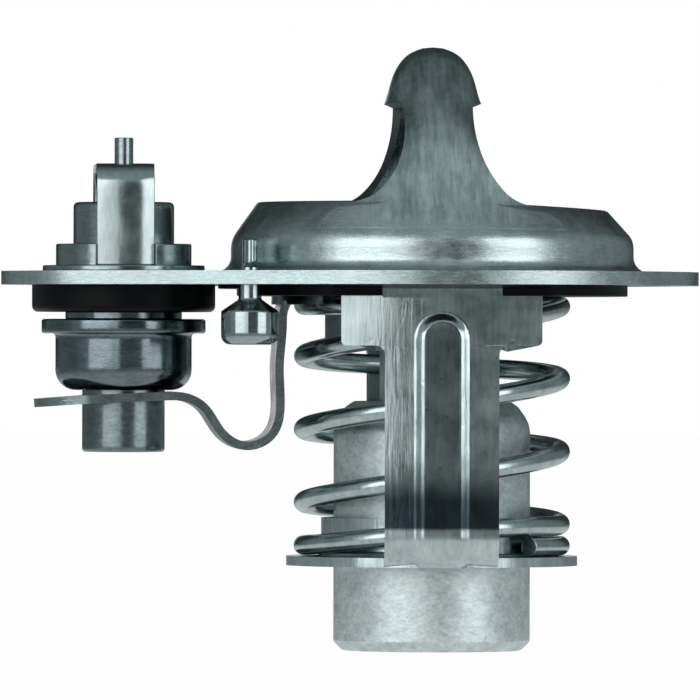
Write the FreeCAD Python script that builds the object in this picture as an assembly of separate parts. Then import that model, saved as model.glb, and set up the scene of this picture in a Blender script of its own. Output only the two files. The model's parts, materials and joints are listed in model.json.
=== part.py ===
import FreeCAD, Part
import math
import os

# Engine thermostat with a main valve (coil spring) and a small sub valve (leaf spring).
# Millimetres, +Z up. The origin is on the main axis, in the plane of the flange's clamped underside.
# +X points away from the sub valve, which stands on the -X side.

# Flange plate
SHEET = 1.37
MAIN_LOBE_R = 27.0
SUB_LOBE_R = 12.4
SUB_X = -31.27
CLAMP_W = 2.8
COIN = 0.1

# Hat, the raised mouth of the plate
HAT_R = 20.4
HAT_FOOT_R = 1.5
HAT_CREASE_Z = 4.6
RIM_R = 17.7
RIM_Z = 8.39
RIM_FALL_DEG = 2.65
PRESS_T = 1.3
MOUTH_EDGE = 0.3
CREASE_IN = 0.52

# Arch bridge, each row: height, half length along Y, half width along X
ARCH_ROWS = [
    (10.0, 16.9, 15.2),
    (12.5, 16.2, 11.6),
    (15.0, 14.3, 8.0),
    (18.0, 10.5, 5.05),
    (20.6, 7.1, 4.22),
    (22.2, 4.9, 3.52),
    (23.4, 3.0, 2.42),
]
ARCH_POWER = 2.25
ARCH_POINTS = 24
CROWN_TIP_Z = 24.12
CROWN_TIP_SHARE = 0.35
CROWN_T = 0.98
EAR_Z = 18.37
ARCH_ROOT = 0.6
ARCH_STEP = 0.15
LEG_ROWS = [(18.2, 3.6), (16.6, 3.48), (13.9, 3.8), (11.5, 4.8), (9.6, 6.0)]
LEG_FLARE_W = 8.2

# Seat ring
RING_R = 19.8
RING_BOTTOM = -1.1
RING_LIP_T = 0.48
RING_BORE = 14.25
SEAT_BORE = 13.2
SEAT_Z = 0.5
SEAT_T = 0.85
TONGUE_R = 21.7
TONGUE_DEG = 28.0

# Lower frame
STRIP_T = 0.96
LEG_Y = 15.15
LEG_W = 5.72
HEAD_W = 10.05
HEAD_BOTTOM = -6.1
HEAD_CORNER_R = 0.5
HEAD_FREE = 1.15
TAB_W = 6.0
HOOK_REACH = 1.6
BEAD_W = 2.65
BEAD_TOP_W = 1.9
BEAD_H = 0.7
BEAD_UNDER = 0.38
BEAD_TOP = -2.8
BEAD_BOTTOM = -28.5
FOOT_BEND_R = 2.0
FOOT_L = 3.0
BASE_R = 14.74
BASE_BOTTOM = -28.33
COLLAR_R = 11.2
COLLAR_T = 1.05
COLLAR_TOP = -23.5

# Main spring
WIRE_R = 1.0
COIL_R = 13.0
COIL_CLEAR = 0.05
COIL_PITCH = 7.4
COIL_TILT = 0.75
COIL_START_DEG = -45.0
COIL_END_DEG = 1715.0
COIL_REF_DEG = 360.0
COIL_REF_Z = -24.83
LAP_START_DEG = 180.0
LAP_SPAN_DEG = 135.0
COIL_STEP_DEG = 20.0

# Main wax element and valve
CUP_R = 9.95
CUP_T = 0.8
CUP_FLOOR = 1.0
CUP_BOTTOM = -36.94
CUP_CHAMFER = 0.9
CUP_SHOULDER = -14.9
CUP_TOP = -11.7
CUP_TOP_R = 7.9
CUP_MID_IN = 0.55
CUP_MID_Z = -13.2
NECK_R = 4.5
NECK_FOOT_R = 5.3
NECK_TOP = 3.0
NECK_EDGE = 0.4
FLANGE_DEPTH = 1.7
DIAPHRAGM_T = 0.8
DISC_R = 14.0
DISC_T = 1.0
DISC_BOTTOM = -0.95
SEAL_IN_R = 11.4
SEAL_OUT_R = 13.9
SEAT_TOUCH = 0.02
WASHER_R = 8.0
WASHER_T = 1.0
CLIP_R = 6.2
CLIP_DEPTH = 0.35
CLIP_T = 0.7
CLIP_SLOT = 1.2
PISTON_R = 1.95
PISTON_TIP_R = 0.7
PISTON_TIP_L = 1.7
PISTON_TOP = 22.71
RUN_CLEAR = 0.05
PLUG_R = 3.2
PLUG_L = 3.0

# Leaf spring
LEAF_T = 0.86
LEAF_W = 11.5
LEAF_HOLE_CLEAR = 0.45
LEAF_POINTS = 40
LEAF_PATH = [
    (-40.0, -11.97),
    (-35.5, -11.62),
    (-31.3, -11.4),
    (-27.5, -11.25),
    (-25.2, -11.35),
    (-23.4, -12.3),
    (-21.5, -14.95),
    (-19.1, -16.23),
    (-16.5, -15.1),
    (-15.65, -11.6),
    (-15.75, -8.0),
    (-15.45, -4.0),
    (-15.35, -2.6),
    (-15.0, -1.75),
]
ANCHOR_IN_R = 14.4
ANCHOR_OUT_R = 17.5
ANCHOR_DEG = 44.0

# Sub valve unit
STRAP_W = 5.9
STRAP_T = 1.0
STRAP_Y = 6.2
STRAP_TOP = 12.22
STRAP_BEND_R = 2.5
SUB_PIN_R = 0.95
SUB_PIN_TOP = 14.87
SUB_GUIDE_R = 5.1
SUB_GUIDE_TOP = 8.35
SUB_GUIDE_EDGE = 0.5
SUB_COLLAR_R = 6.86
SUB_COLLAR_TOP = 4.13
SUB_COLLAR_BORE = 5.6
SUB_RIM_R = 8.2
SUB_RIM_T = 0.59
SUB_PORT_R = 6.3
RUBBER_R = 9.27
RUBBER_BOTTOM = -2.75
RUBBER_EDGE = 0.45
SUB_NECK_R = 5.9
SUB_NECK_BOTTOM = -3.46
BELL_RIM_R = 8.3
BELL_RIM_T = 1.45
BELL_EDGE = 0.25
BELL_FILLET = 0.35
BELL_R = 6.9
BELL_BOTTOM = -10.65
BELL_CORNER_R = 2.1
BELL_BORE = 5.3
BELL_FLOOR = 0.9
SUB_DIAPHRAGM_T = 0.6
SUB_CUP_R = 4.18
SUB_CUP_T = 0.5
SUB_CUP_BOTTOM = -16.9
SUB_CUP_RIM_T = 0.8
SUB_CUP_EDGE = 0.3
SUB_PLUG_R = 2.0
SUB_PLUG_L = 2.9

# Jiggle pin, beside the hat's foot
PIN_OUT = 2.65
PIN_DEG = 214.035
PIN_SHANK_R = 0.87
PIN_TOP = 4.5
PIN_HANG_CLEAR = 0.3
PIN_HEAD_OVER = 0.3
PIN_NECK_R = 1.15
PIN_HOLE_CLEAR = 0.25
PIN_NECK_BOTTOM = -1.5
PIN_BULB_R = 2.9
PIN_CONE_L = 1.2
PIN_BULB_L = 2.3
PIN_FOOT_R = 1.8
PIN_BOTTOM = -6.05
PIN_STEP = 0.3

PIN_X = (HAT_R + PIN_OUT) * math.cos(math.radians(PIN_DEG))
PIN_Y = (HAT_R + PIN_OUT) * math.sin(math.radians(PIN_DEG))
FAR = 60.0

UP = FreeCAD.Vector(0, 0, 1)
ORIGIN = FreeCAD.Vector(0, 0, 0)


def at(x, y, z):
    return FreeCAD.Vector(x, y, z)


def face_of(points):
    """A flat face from corner points."""
    return Part.Face(Part.makePolygon(points + [points[0]]))


def turned(profile, x=0.0, y=0.0):
    """A solid turned about a vertical axis from its (radius, height) profile."""
    points = [at(x + r, y, z) for r, z in profile]
    return face_of(points).revolve(at(x, y, 0), UP, 360)


def ring(inner, outer, low, high, x=0.0):
    """A plain turned ring."""
    return turned([(inner, low), (outer, low), (outer, high), (inner, high)], x)


def box(x0, x1, y0, y1, z0, z1):
    return Part.makeBox(x1 - x0, y1 - y0, z1 - z0, at(x0, y0, z0))


def arc_points(cx, cz, radius, start, end, steps):
    """Points of an arc in the profile plane, both ends included."""
    angles = [math.radians(start + (end - start) * i / steps) for i in range(steps + 1)]
    return [(cx + radius * math.cos(a), cz + radius * math.sin(a)) for a in angles]


def front_and_back(solid):
    """The piece and its mirror image behind the XZ plane."""
    return solid, solid.mirror(ORIGIN, at(0, 1, 0))


def teardrop(inset, low, high):
    """The flange outline, moved inwards by inset and made into a plate."""
    big = MAIN_LOBE_R - inset
    small = SUB_LOBE_R - inset
    nx = (big - small) / SUB_X
    ny = math.sqrt(1 - nx * nx)
    a = at(big * nx, big * ny, low)
    b = at(SUB_X + small * nx, small * ny, low)
    c = at(SUB_X - small, 0, low)
    d = at(b.x, -b.y, low)
    e = at(a.x, -a.y, low)
    f = at(big, 0, low)
    edges = [
        Part.LineSegment(a, b).toShape(),
        Part.Arc(b, c, d).toShape(),
        Part.LineSegment(d, e).toShape(),
        Part.Arc(e, f, a).toShape(),
    ]
    return Part.Face(Part.Wire(edges)).extrude(at(0, 0, high - low))


def arch_section(z, half_y, half_x, power):
    """A closed superellipse at height z, from a rounded box towards a circle."""
    points = []
    for i in range(ARCH_POINTS):
        angle = 2 * math.pi * i / ARCH_POINTS
        c = math.cos(angle)
        s = math.sin(angle)
        x = half_x * math.copysign(abs(c) ** (2 / power), c)
        y = half_y * math.copysign(abs(s) ** (2 / power), s)
        points.append(at(x, y, z))
    curve = Part.BSplineCurve()
    curve.interpolate(points, PeriodicFlag=True)
    return Part.Wire(curve.toShape())


def dome(inset, drop):
    """The arch's outer form, or its inner form when inset and dropped by the sheet."""
    base = RIM_Z - ARCH_ROOT - drop
    sections = [arch_section(base, RIM_R - ARCH_STEP - inset, RIM_R - ARCH_STEP - inset, 2.0)]
    for z, half_y, half_x in ARCH_ROWS:
        sections.append(arch_section(z - drop, half_y - inset, half_x - inset, ARCH_POWER))
    top_y = ARCH_ROWS[-1][1] - inset
    top_x = ARCH_ROWS[-1][2] - inset
    share = CROWN_TIP_SHARE
    sections.append(arch_section(CROWN_TIP_Z - drop, top_y * share, top_x * share, 2.0))
    return Part.makeLoft(sections, True, False)


def window_cutter(side):
    """Cuts one window between the arch's leg and the rim; the rim falls on the +X side."""
    far = FAR
    fall = math.tan(math.radians(RIM_FALL_DEG)) if side > 0 else 0.0
    leg = [at(side * w, 0, z) for z, w in LEG_ROWS]
    start = at(side * (LEG_ROWS[0][1]), 0, EAR_Z)
    foot = at(side * LEG_FLARE_W, 0, RIM_Z - LEG_FLARE_W * fall)
    curve = Part.BSplineCurve()
    curve.interpolate([start] + leg[1:] + [foot])
    low = at(side * far, 0, RIM_Z - far * fall)
    high = at(side * far, 0, EAR_Z)
    edges = [
        curve.toShape(),
        Part.LineSegment(foot, low).toShape(),
        Part.LineSegment(low, high).toShape(),
        Part.LineSegment(high, start).toShape(),
    ]
    face = Part.Face(Part.Wire(edges))
    face.translate(at(0, -far, 0))
    return face.extrude(at(0, 2 * far, 0))


def flange_and_bridge():
    """Plate, hat and arch bridge, pressed from one sheet."""
    foot = arc_points(HAT_R + HAT_FOOT_R, SHEET + HAT_FOOT_R, HAT_FOOT_R, 270, 180, 6)
    wall_in = HAT_R - PRESS_T
    rim_in = RIM_R - PRESS_T
    hat = [(wall_in, COIN), (foot[0][0], COIN)] + foot
    hat += [(HAT_R, HAT_CREASE_Z), (RIM_R, RIM_Z), (rim_in, RIM_Z)]
    hat += [(wall_in, HAT_CREASE_Z - CREASE_IN)]
    body = teardrop(0, 0, SHEET).cut(teardrop(CLAMP_W, 0, COIN))
    body = body.cut(Part.makeCylinder(wall_in, SHEET, ORIGIN))
    body = body.fuse(turned(hat))
    arch = dome(0, 0).cut(dome(PRESS_T, CROWN_T))
    for side in (-1, 1):
        body = body.cut(window_cutter(side))
        arch = arch.cut(window_cutter(side))
    body = body.fuse(arch)
    edge = turned([(0, 0), (wall_in + MOUTH_EDGE, 0), (wall_in + MOUTH_EDGE, COIN),
                   (wall_in, COIN + MOUTH_EDGE), (0, COIN + MOUTH_EDGE)])
    body = body.cut(edge)
    body = body.cut(Part.makeCylinder(SUB_PORT_R, SHEET, at(SUB_X, 0, 0)))
    pin_hole = Part.makeCylinder(PIN_NECK_R + PIN_HOLE_CLEAR, SHEET, at(PIN_X, PIN_Y, 0))
    return body.cut(pin_hole).removeSplitter()


def seat_ring():
    """Coated ring under the plate: outer body, thin lip, and the raised seat in the mouth."""
    top = COIN
    lip = top - RING_LIP_T
    profile = [(RING_BORE, RING_BOTTOM), (RING_R, RING_BOTTOM), (RING_R, top)]
    profile += [(RING_BORE + SEAT_T, top), (RING_BORE + SEAT_T, SEAT_Z + SEAT_T)]
    profile += [(SEAT_BORE, SEAT_Z + SEAT_T), (SEAT_BORE, SEAT_Z), (RING_BORE, SEAT_Z)]
    body = turned(profile)
    tongue = ring(RING_R - 1, TONGUE_R, lip, top)
    reach = TONGUE_R * math.sin(math.radians(TONGUE_DEG))
    tongue = tongue.common(box(-MAIN_LOBE_R, 0, -reach, reach, RING_BOTTOM, top))
    body = body.fuse(tongue)
    clear = RUN_CLEAR
    outer = LEG_Y + STRIP_T + clear
    flat = box(-HEAD_W - 1, HEAD_W + 1, outer, MAIN_LOBE_R, RING_BOTTOM, lip)
    notch = box(-TAB_W - clear, TAB_W + clear, LEG_Y - clear, outer, RING_BOTTOM, top)
    for cutter in front_and_back(flat) + front_and_back(notch):
        body = body.cut(cutter)
    return body.removeSplitter()


def bead_section():
    """Section of a leg, seen from above: flat wings and a raised bead."""
    inner = LEG_Y
    outer = LEG_Y + STRIP_T
    right = [(LEG_W, inner), (LEG_W, outer), (BEAD_W, outer), (BEAD_TOP_W, outer + BEAD_H)]
    left = [(-x, y) for x, y in reversed(right)]
    wide = BEAD_W - BEAD_UNDER
    narrow = BEAD_TOP_W - BEAD_UNDER
    under = [(-wide, inner), (-narrow, inner + BEAD_H), (narrow, inner + BEAD_H), (wide, inner)]
    return right + left + under


def lower_frame():
    """Base plate with its collar, two beaded legs, T-heads and hooks."""
    inner = LEG_Y
    outer = LEG_Y + STRIP_T
    base_top = BASE_BOTTOM + STRIP_T
    bend_z = base_top + FOOT_BEND_R
    bend_y = LEG_Y - FOOT_BEND_R
    section = face_of([at(x, y, bend_z) for x, y in bead_section()])
    round_z = BEAD_TOP - BEAD_W
    leg = section.extrude(at(0, 0, round_z - bend_z))
    bend = section.revolve(at(0, bend_y, bend_z), at(-1, 0, 0), 90)
    keep = box(-LEG_W, LEG_W, 0, MAIN_LOBE_R, BEAD_BOTTOM, 0)
    leg = leg.fuse(bend.common(keep))
    leg = leg.fuse(box(-LEG_W, LEG_W, bend_y - FOOT_L, bend_y, BASE_BOTTOM, base_top))
    head = box(-HEAD_W, HEAD_W, inner, outer, HEAD_BOTTOM, RING_BOTTOM)
    corners = [e for e in head.Edges if abs(e.BoundBox.YLength - STRIP_T) < 0.01]
    low = [e for e in corners if e.BoundBox.ZMax < HEAD_BOTTOM + 0.1]
    head = head.makeFillet(HEAD_CORNER_R, low)
    hook_z = COIN
    tab = box(-TAB_W, TAB_W, inner, outer, RING_BOTTOM - HEAD_FREE, hook_z + STRIP_T)
    hook = box(-TAB_W, TAB_W, inner, outer + HOOK_REACH, hook_z, hook_z + STRIP_T)
    arm = leg.fuse(head).fuse(tab).fuse(hook)
    out = at(0, 1, 0)
    arm = arm.fuse(Part.makeCone(BEAD_W, BEAD_TOP_W, BEAD_H, at(0, outer, round_z), out))
    wide = BEAD_W - BEAD_UNDER
    narrow = BEAD_TOP_W - BEAD_UNDER
    channel = face_of([at(x, y, HEAD_BOTTOM) for x, y in
                       [(-wide, inner), (-narrow, inner + BEAD_H),
                        (narrow, inner + BEAD_H), (wide, inner)]])
    arm = arm.cut(channel.extrude(at(0, 0, round_z - HEAD_BOTTOM)))
    arm = arm.cut(Part.makeCone(wide, narrow, BEAD_H, at(0, inner, round_z), out))
    base = ring(COLLAR_R - COLLAR_T, BASE_R, BASE_BOTTOM, base_top)
    collar = ring(COLLAR_R - COLLAR_T, COLLAR_R, BASE_BOTTOM, COLLAR_TOP)
    for gap in front_and_back(box(-LEG_W, LEG_W, bend_y, FAR, BASE_BOTTOM, base_top)):
        base = base.cut(gap)
    body = base.fuse(collar)
    for side in front_and_back(arm):
        body = body.fuse(side)
    bore = Part.makeCylinder(COLLAR_R - COLLAR_T, FAR, at(0, 0, BASE_BOTTOM - FAR / 2))
    return body.cut(bore).removeSplitter()


def coil_height(degrees):
    """Height of the wire's centre: closed end, tilted open turns, closed end."""
    low = BASE_BOTTOM + STRIP_T + WIRE_R + COIL_CLEAR
    high = DISC_BOTTOM - WIRE_R - COIL_CLEAR
    share = min(max((degrees - LAP_START_DEG) / LAP_SPAN_DEG, 0), 1)
    lapped = low + (2 * WIRE_R + COIL_CLEAR) * share * share * (3 - 2 * share)
    open_part = COIL_REF_Z + COIL_PITCH * (degrees - COIL_REF_DEG) / 360
    open_part += COIL_TILT * math.cos(math.radians(degrees))
    return min(max(lapped, open_part), high)


def main_spring():
    """Coil spring with closed ends."""
    steps = int((COIL_END_DEG - COIL_START_DEG) / COIL_STEP_DEG)
    points = []
    for i in range(steps + 1):
        degrees = COIL_START_DEG + (COIL_END_DEG - COIL_START_DEG) * i / steps
        angle = math.radians(degrees)
        points.append(at(COIL_R * math.cos(angle), COIL_R * math.sin(angle), coil_height(degrees)))
    curve = Part.BSplineCurve()
    curve.interpolate(points)
    start = curve.value(curve.FirstParameter)
    along = curve.tangent(curve.FirstParameter)[0]
    section = Part.Wire(Part.Circle(start, along, WIRE_R).toShape())
    path = Part.Wire(curve.toShape())
    return Part.Solid(path.makePipeShell([section], True, True))


def main_guide():
    """Guide body: neck with a clip groove, foot, and the flange held by the cup."""
    bore = PISTON_R + RUN_CLEAR
    low = CUP_SHOULDER - FLANGE_DEPTH
    inner_r = CUP_R - CUP_T
    step = DISC_BOTTOM - WASHER_T
    clip = DISC_BOTTOM + DISC_T
    profile = [(PLUG_R, low), (inner_r, low), (inner_r, CUP_SHOULDER)]
    profile += [(CUP_TOP_R - CUP_T, CUP_TOP - CUP_T), (NECK_FOOT_R, CUP_TOP - CUP_T)]
    profile += [(NECK_FOOT_R, step), (NECK_R, step), (NECK_R, clip)]
    profile += [(NECK_R - CLIP_DEPTH, clip), (NECK_R - CLIP_DEPTH, clip + CLIP_T)]
    profile += [(NECK_R, clip + CLIP_T), (NECK_R, NECK_TOP - NECK_EDGE), (NECK_R - NECK_EDGE, NECK_TOP)]
    profile += [(bore, NECK_TOP), (bore, low + PLUG_L), (PLUG_R, low + PLUG_L)]
    return turned(profile)


def main_wax_cup():
    """Deep cup whose rim is rolled over the guide's flange."""
    inner_r = CUP_R - CUP_T
    mid = (CUP_R - CUP_MID_IN, CUP_MID_Z)
    profile = [(0, CUP_BOTTOM), (CUP_R - CUP_CHAMFER, CUP_BOTTOM), (CUP_R, CUP_BOTTOM + CUP_CHAMFER)]
    profile += [(CUP_R, CUP_SHOULDER), mid, (CUP_TOP_R, CUP_TOP), (NECK_FOOT_R, CUP_TOP)]
    profile += [(NECK_FOOT_R, CUP_TOP - CUP_T), (CUP_TOP_R - CUP_T, CUP_TOP - CUP_T)]
    profile += [(inner_r, CUP_SHOULDER), (inner_r, CUP_BOTTOM + CUP_FLOOR), (0, CUP_BOTTOM + CUP_FLOOR)]
    return turned(profile)


def main_fillings():
    """Diaphragm, wax charge and sealing plug inside the main element."""
    inner_r = CUP_R - CUP_T
    top = CUP_SHOULDER - FLANGE_DEPTH
    mid = top - DIAPHRAGM_T
    diaphragm = Part.makeCylinder(inner_r, DIAPHRAGM_T, at(0, 0, mid))
    wax = Part.makeCylinder(inner_r, mid - CUP_BOTTOM - CUP_FLOOR, at(0, 0, CUP_BOTTOM + CUP_FLOOR))
    plug = Part.makeCylinder(PLUG_R, PLUG_L, at(0, 0, top))
    return {"main_diaphragm": diaphragm, "main_wax": wax, "main_piston_seal": plug}


def main_piston():
    """Pin from the sealing plug up to the bridge's crown, with a tapered tip."""
    low = CUP_SHOULDER - FLANGE_DEPTH + PLUG_L + SEAT_TOUCH
    profile = [(0, low), (PISTON_R, low), (PISTON_R, PISTON_TOP - PISTON_TIP_L)]
    profile += [(PISTON_TIP_R, PISTON_TOP), (0, PISTON_TOP)]
    return turned(profile)


def main_valve_parts():
    """Valve disc with a dished rim, its rubber ring, thrust washer and clip."""
    top = DISC_BOTTOM + DISC_T
    disc = ring(NECK_R, DISC_R, DISC_BOTTOM, top)
    seal = ring(SEAL_IN_R, SEAL_OUT_R, top, SEAT_Z - SEAT_TOUCH)
    washer = ring(NECK_R, WASHER_R, DISC_BOTTOM - WASHER_T, DISC_BOTTOM)
    clip = ring(NECK_R - CLIP_DEPTH, CLIP_R, top, top + CLIP_T)
    clip = clip.cut(box(0, CLIP_R, -CLIP_SLOT, CLIP_SLOT, top, top + CLIP_T))
    return {
        "main_valve_disc": disc,
        "main_valve_seal": seal,
        "main_guide_washer": washer,
        "valve_retaining_ring": clip,
    }


def leaf_spring():
    """Bent strip from its crescent anchor, down, round the loop and under the sub valve."""
    top = RING_BOTTOM
    line = Part.BSplineCurve()
    line.interpolate([at(x, 0, z) for x, z in LEAF_PATH])
    upper = []
    lower = []
    for i in range(LEAF_POINTS + 1):
        u = line.FirstParameter + (line.LastParameter - line.FirstParameter) * i / LEAF_POINTS
        here = line.value(u)
        along = line.tangent(u)[0]
        side = at(-along.z, 0, along.x) * (LEAF_T / 2)
        upper.append(here + side)
        lower.append(here - side)
    over = Part.BSplineCurve()
    over.interpolate(upper)
    under = Part.BSplineCurve()
    under.interpolate(lower)
    edges = [
        over.toShape(),
        Part.LineSegment(upper[-1], lower[-1]).toShape(),
        under.toShape(),
        Part.LineSegment(lower[0], upper[0]).toShape(),
    ]
    face = Part.Face(Part.Wire(edges))
    face.translate(at(0, -LEAF_W / 2, 0))
    strip = face.extrude(at(0, LEAF_W, 0))
    half = LEAF_W / 2
    end_x = LEAF_PATH[0][0] + half
    outline = Part.makeCylinder(half, FAR, at(end_x, 0, -FAR))
    outline = outline.fuse(box(end_x, 0, -half, half, -FAR, top))
    strip = strip.common(outline)
    hole = Part.makeCylinder(SUB_CUP_R + LEAF_HOLE_CLEAR, FAR, at(SUB_X, 0, -FAR))
    strip = strip.cut(hole)
    strip = strip.cut(Part.makeCylinder(ANCHOR_IN_R, FAR, at(0, 0, top - LEAF_T - COIL_CLEAR)))
    crescent = ring(ANCHOR_IN_R, ANCHOR_OUT_R, top - LEAF_T, top)
    reach = ANCHOR_OUT_R * math.sin(math.radians(ANCHOR_DEG))
    near = ANCHOR_IN_R * math.cos(math.radians(ANCHOR_DEG))
    crescent = crescent.common(box(-ANCHOR_OUT_R, -near, -reach, reach, top - LEAF_T, top))
    return strip.fuse(crescent).removeSplitter()


def sub_bridge():
    """Strap bent over the sub valve."""
    low = SHEET + SUB_RIM_T
    outer = box(SUB_X - STRAP_W / 2, SUB_X + STRAP_W / 2, -STRAP_Y, STRAP_Y, low, STRAP_TOP)
    inside = STRAP_Y - STRAP_T
    inner = box(SUB_X - STRAP_W / 2, SUB_X + STRAP_W / 2, -inside, inside, low, STRAP_TOP - STRAP_T)
    shapes = []
    for solid, radius, height in ((outer, STRAP_BEND_R, STRAP_TOP),
                                  (inner, STRAP_BEND_R - STRAP_T, STRAP_TOP - STRAP_T)):
        bends = []
        for edge in solid.Edges:
            flat = edge.BoundBox.ZMin > height - 0.01
            if flat and edge.BoundBox.XLength > STRAP_W - 0.01:
                bends.append(edge)
        shapes.append(solid.makeFillet(radius, bends))
    strap = shapes[0].cut(shapes[1])
    hole = Part.makeCylinder(SUB_PIN_R, FAR, at(SUB_X, 0, SUB_COLLAR_TOP))
    return strap.cut(hole)


def sub_seat_collar():
    """Stepped collar on the plate, notched for the strap's legs, with a spigot in the port."""
    rim_top = SHEET + SUB_RIM_T
    profile = [(SUB_COLLAR_BORE, COIN), (SUB_PORT_R, COIN), (SUB_PORT_R, SHEET)]
    profile += [(SUB_RIM_R, SHEET), (SUB_RIM_R, rim_top), (SUB_COLLAR_R, rim_top)]
    profile += [(SUB_COLLAR_R, SUB_COLLAR_TOP), (SUB_COLLAR_BORE, SUB_COLLAR_TOP)]
    body = turned(profile, SUB_X)
    half = STRAP_W / 2
    inside = STRAP_Y - STRAP_T
    notch = box(SUB_X - half, SUB_X + half, inside, SUB_RIM_R, rim_top, SUB_COLLAR_TOP)
    for cutter in front_and_back(notch):
        body = body.cut(cutter)
    return body


def sub_guide():
    """Guide cylinder of the sub element, with the flange that carries the rubber disc."""
    bore = SUB_PIN_R + RUN_CLEAR
    plug_top = SUB_NECK_BOTTOM + SUB_PLUG_L
    profile = [(SUB_PLUG_R, SUB_NECK_BOTTOM), (SUB_NECK_R, SUB_NECK_BOTTOM)]
    profile += [(SUB_NECK_R, RUBBER_BOTTOM), (SUB_GUIDE_R, RUBBER_BOTTOM)]
    edge = SUB_GUIDE_EDGE
    profile += arc_points(SUB_GUIDE_R - edge, SUB_GUIDE_TOP - edge, edge, 0, 90, 3)
    profile += [(bore, SUB_GUIDE_TOP), (bore, plug_top), (SUB_PLUG_R, plug_top)]
    return turned(profile, SUB_X)


def sub_valve_rubber():
    """Thick rubber valve disc."""
    top = COIN - SEAT_TOUCH
    profile = [(SUB_GUIDE_R, RUBBER_BOTTOM), (RUBBER_R - RUBBER_EDGE, RUBBER_BOTTOM)]
    profile += [(RUBBER_R, RUBBER_BOTTOM + RUBBER_EDGE), (RUBBER_R, top), (SUB_GUIDE_R, top)]
    return turned(profile, SUB_X)


def sub_bell():
    """Bell-shaped cup that holds the sub element's wax cup."""
    ledge = SUB_NECK_BOTTOM - SUB_DIAPHRAGM_T - SUB_CUP_RIM_T
    rim_low = SUB_NECK_BOTTOM - BELL_RIM_T
    corner = arc_points(BELL_R - BELL_CORNER_R, BELL_BOTTOM + BELL_CORNER_R, BELL_CORNER_R, 270, 360, 6)
    profile = [(SUB_CUP_R, BELL_BOTTOM)] + corner
    profile += [(BELL_R, rim_low - BELL_FILLET), (BELL_R + BELL_FILLET, rim_low)]
    profile += [(BELL_RIM_R - BELL_EDGE, rim_low), (BELL_RIM_R, rim_low + BELL_EDGE)]
    profile += [(BELL_RIM_R, SUB_NECK_BOTTOM - BELL_EDGE), (BELL_RIM_R - BELL_EDGE, SUB_NECK_BOTTOM)]
    profile += [(SUB_NECK_R, SUB_NECK_BOTTOM), (SUB_NECK_R, ledge), (BELL_BORE, ledge)]
    profile += [(BELL_BORE, BELL_BOTTOM + BELL_FLOOR), (SUB_CUP_R, BELL_BOTTOM + BELL_FLOOR)]
    return turned(profile, SUB_X)


def sub_element():
    """Wax cup, wax, diaphragm, sealing plug and pin of the sub valve."""
    top = SUB_NECK_BOTTOM - SUB_DIAPHRAGM_T
    inner = SUB_CUP_R - SUB_CUP_T
    cup = turned([
        (0, SUB_CUP_BOTTOM), (SUB_CUP_R - SUB_CUP_EDGE, SUB_CUP_BOTTOM),
        (SUB_CUP_R, SUB_CUP_BOTTOM + SUB_CUP_EDGE),
        (SUB_CUP_R, top - SUB_CUP_RIM_T), (SUB_NECK_R, top - SUB_CUP_RIM_T), (SUB_NECK_R, top),
        (inner, top), (inner, SUB_CUP_BOTTOM + SUB_CUP_T), (0, SUB_CUP_BOTTOM + SUB_CUP_T),
    ], SUB_X)
    floor = SUB_CUP_BOTTOM + SUB_CUP_T
    wax = Part.makeCylinder(inner, top - floor, at(SUB_X, 0, floor))
    diaphragm = Part.makeCylinder(SUB_NECK_R, SUB_DIAPHRAGM_T, at(SUB_X, 0, top))
    plug = Part.makeCylinder(SUB_PLUG_R, SUB_PLUG_L, at(SUB_X, 0, SUB_NECK_BOTTOM))
    low = SUB_NECK_BOTTOM + SUB_PLUG_L + SEAT_TOUCH
    pin = Part.makeCylinder(SUB_PIN_R, SUB_PIN_TOP - low, at(SUB_X, 0, low))
    return {
        "sub_wax_cup": cup,
        "sub_wax": wax,
        "sub_diaphragm": diaphragm,
        "sub_piston_seal": plug,
        "sub_piston": pin,
    }


def jiggle_pin():
    """Loose bleed pin: flattened head above the plate, bulb below it."""
    cone = PIN_NECK_BOTTOM - PIN_CONE_L
    profile = [(0, PIN_BOTTOM), (PIN_FOOT_R, PIN_BOTTOM), (PIN_BULB_R, cone - PIN_BULB_L)]
    profile += [(PIN_BULB_R, cone), (PIN_NECK_R, PIN_NECK_BOTTOM), (PIN_NECK_R, COIN)]
    head_z = SHEET + PIN_HANG_CLEAR
    profile += [(PIN_SHANK_R, COIN + PIN_STEP), (PIN_SHANK_R, head_z), (0, head_z)]
    body = turned(profile, PIN_X, PIN_Y)
    reach = PIN_NECK_R + PIN_HOLE_CLEAR + PIN_HEAD_OVER
    head = box(PIN_X - PIN_SHANK_R, PIN_X + PIN_SHANK_R, PIN_Y - reach, PIN_Y + reach,
               head_z, PIN_TOP)
    return body.fuse(head).removeSplitter()


def all_parts():
    parts = {
        "flange_and_bridge": flange_and_bridge(),
        "seat_ring": seat_ring(),
        "lower_frame": lower_frame(),
        "main_spring": main_spring(),
        "main_guide": main_guide(),
        "main_wax_cup": main_wax_cup(),
        "main_piston": main_piston(),
        "leaf_spring": leaf_spring(),
        "jiggle_pin": jiggle_pin(),
        "sub_bridge": sub_bridge(),
        "sub_seat_collar": sub_seat_collar(),
        "sub_guide": sub_guide(),
        "sub_valve_rubber": sub_valve_rubber(),
        "sub_bell": sub_bell(),
    }
    parts.update(main_fillings())
    parts.update(main_valve_parts())
    parts.update(sub_element())
    return parts


os.makedirs("parts", exist_ok=True)
for name, shape in all_parts().items():
    print(name, len(shape.Solids), shape.isValid(), round(shape.Volume, 2))
    shape.exportStep("parts/" + name + ".step")
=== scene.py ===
import json
import math

import bmesh
import bpy
import numpy as np
from mathutils import Matrix, Vector


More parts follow.
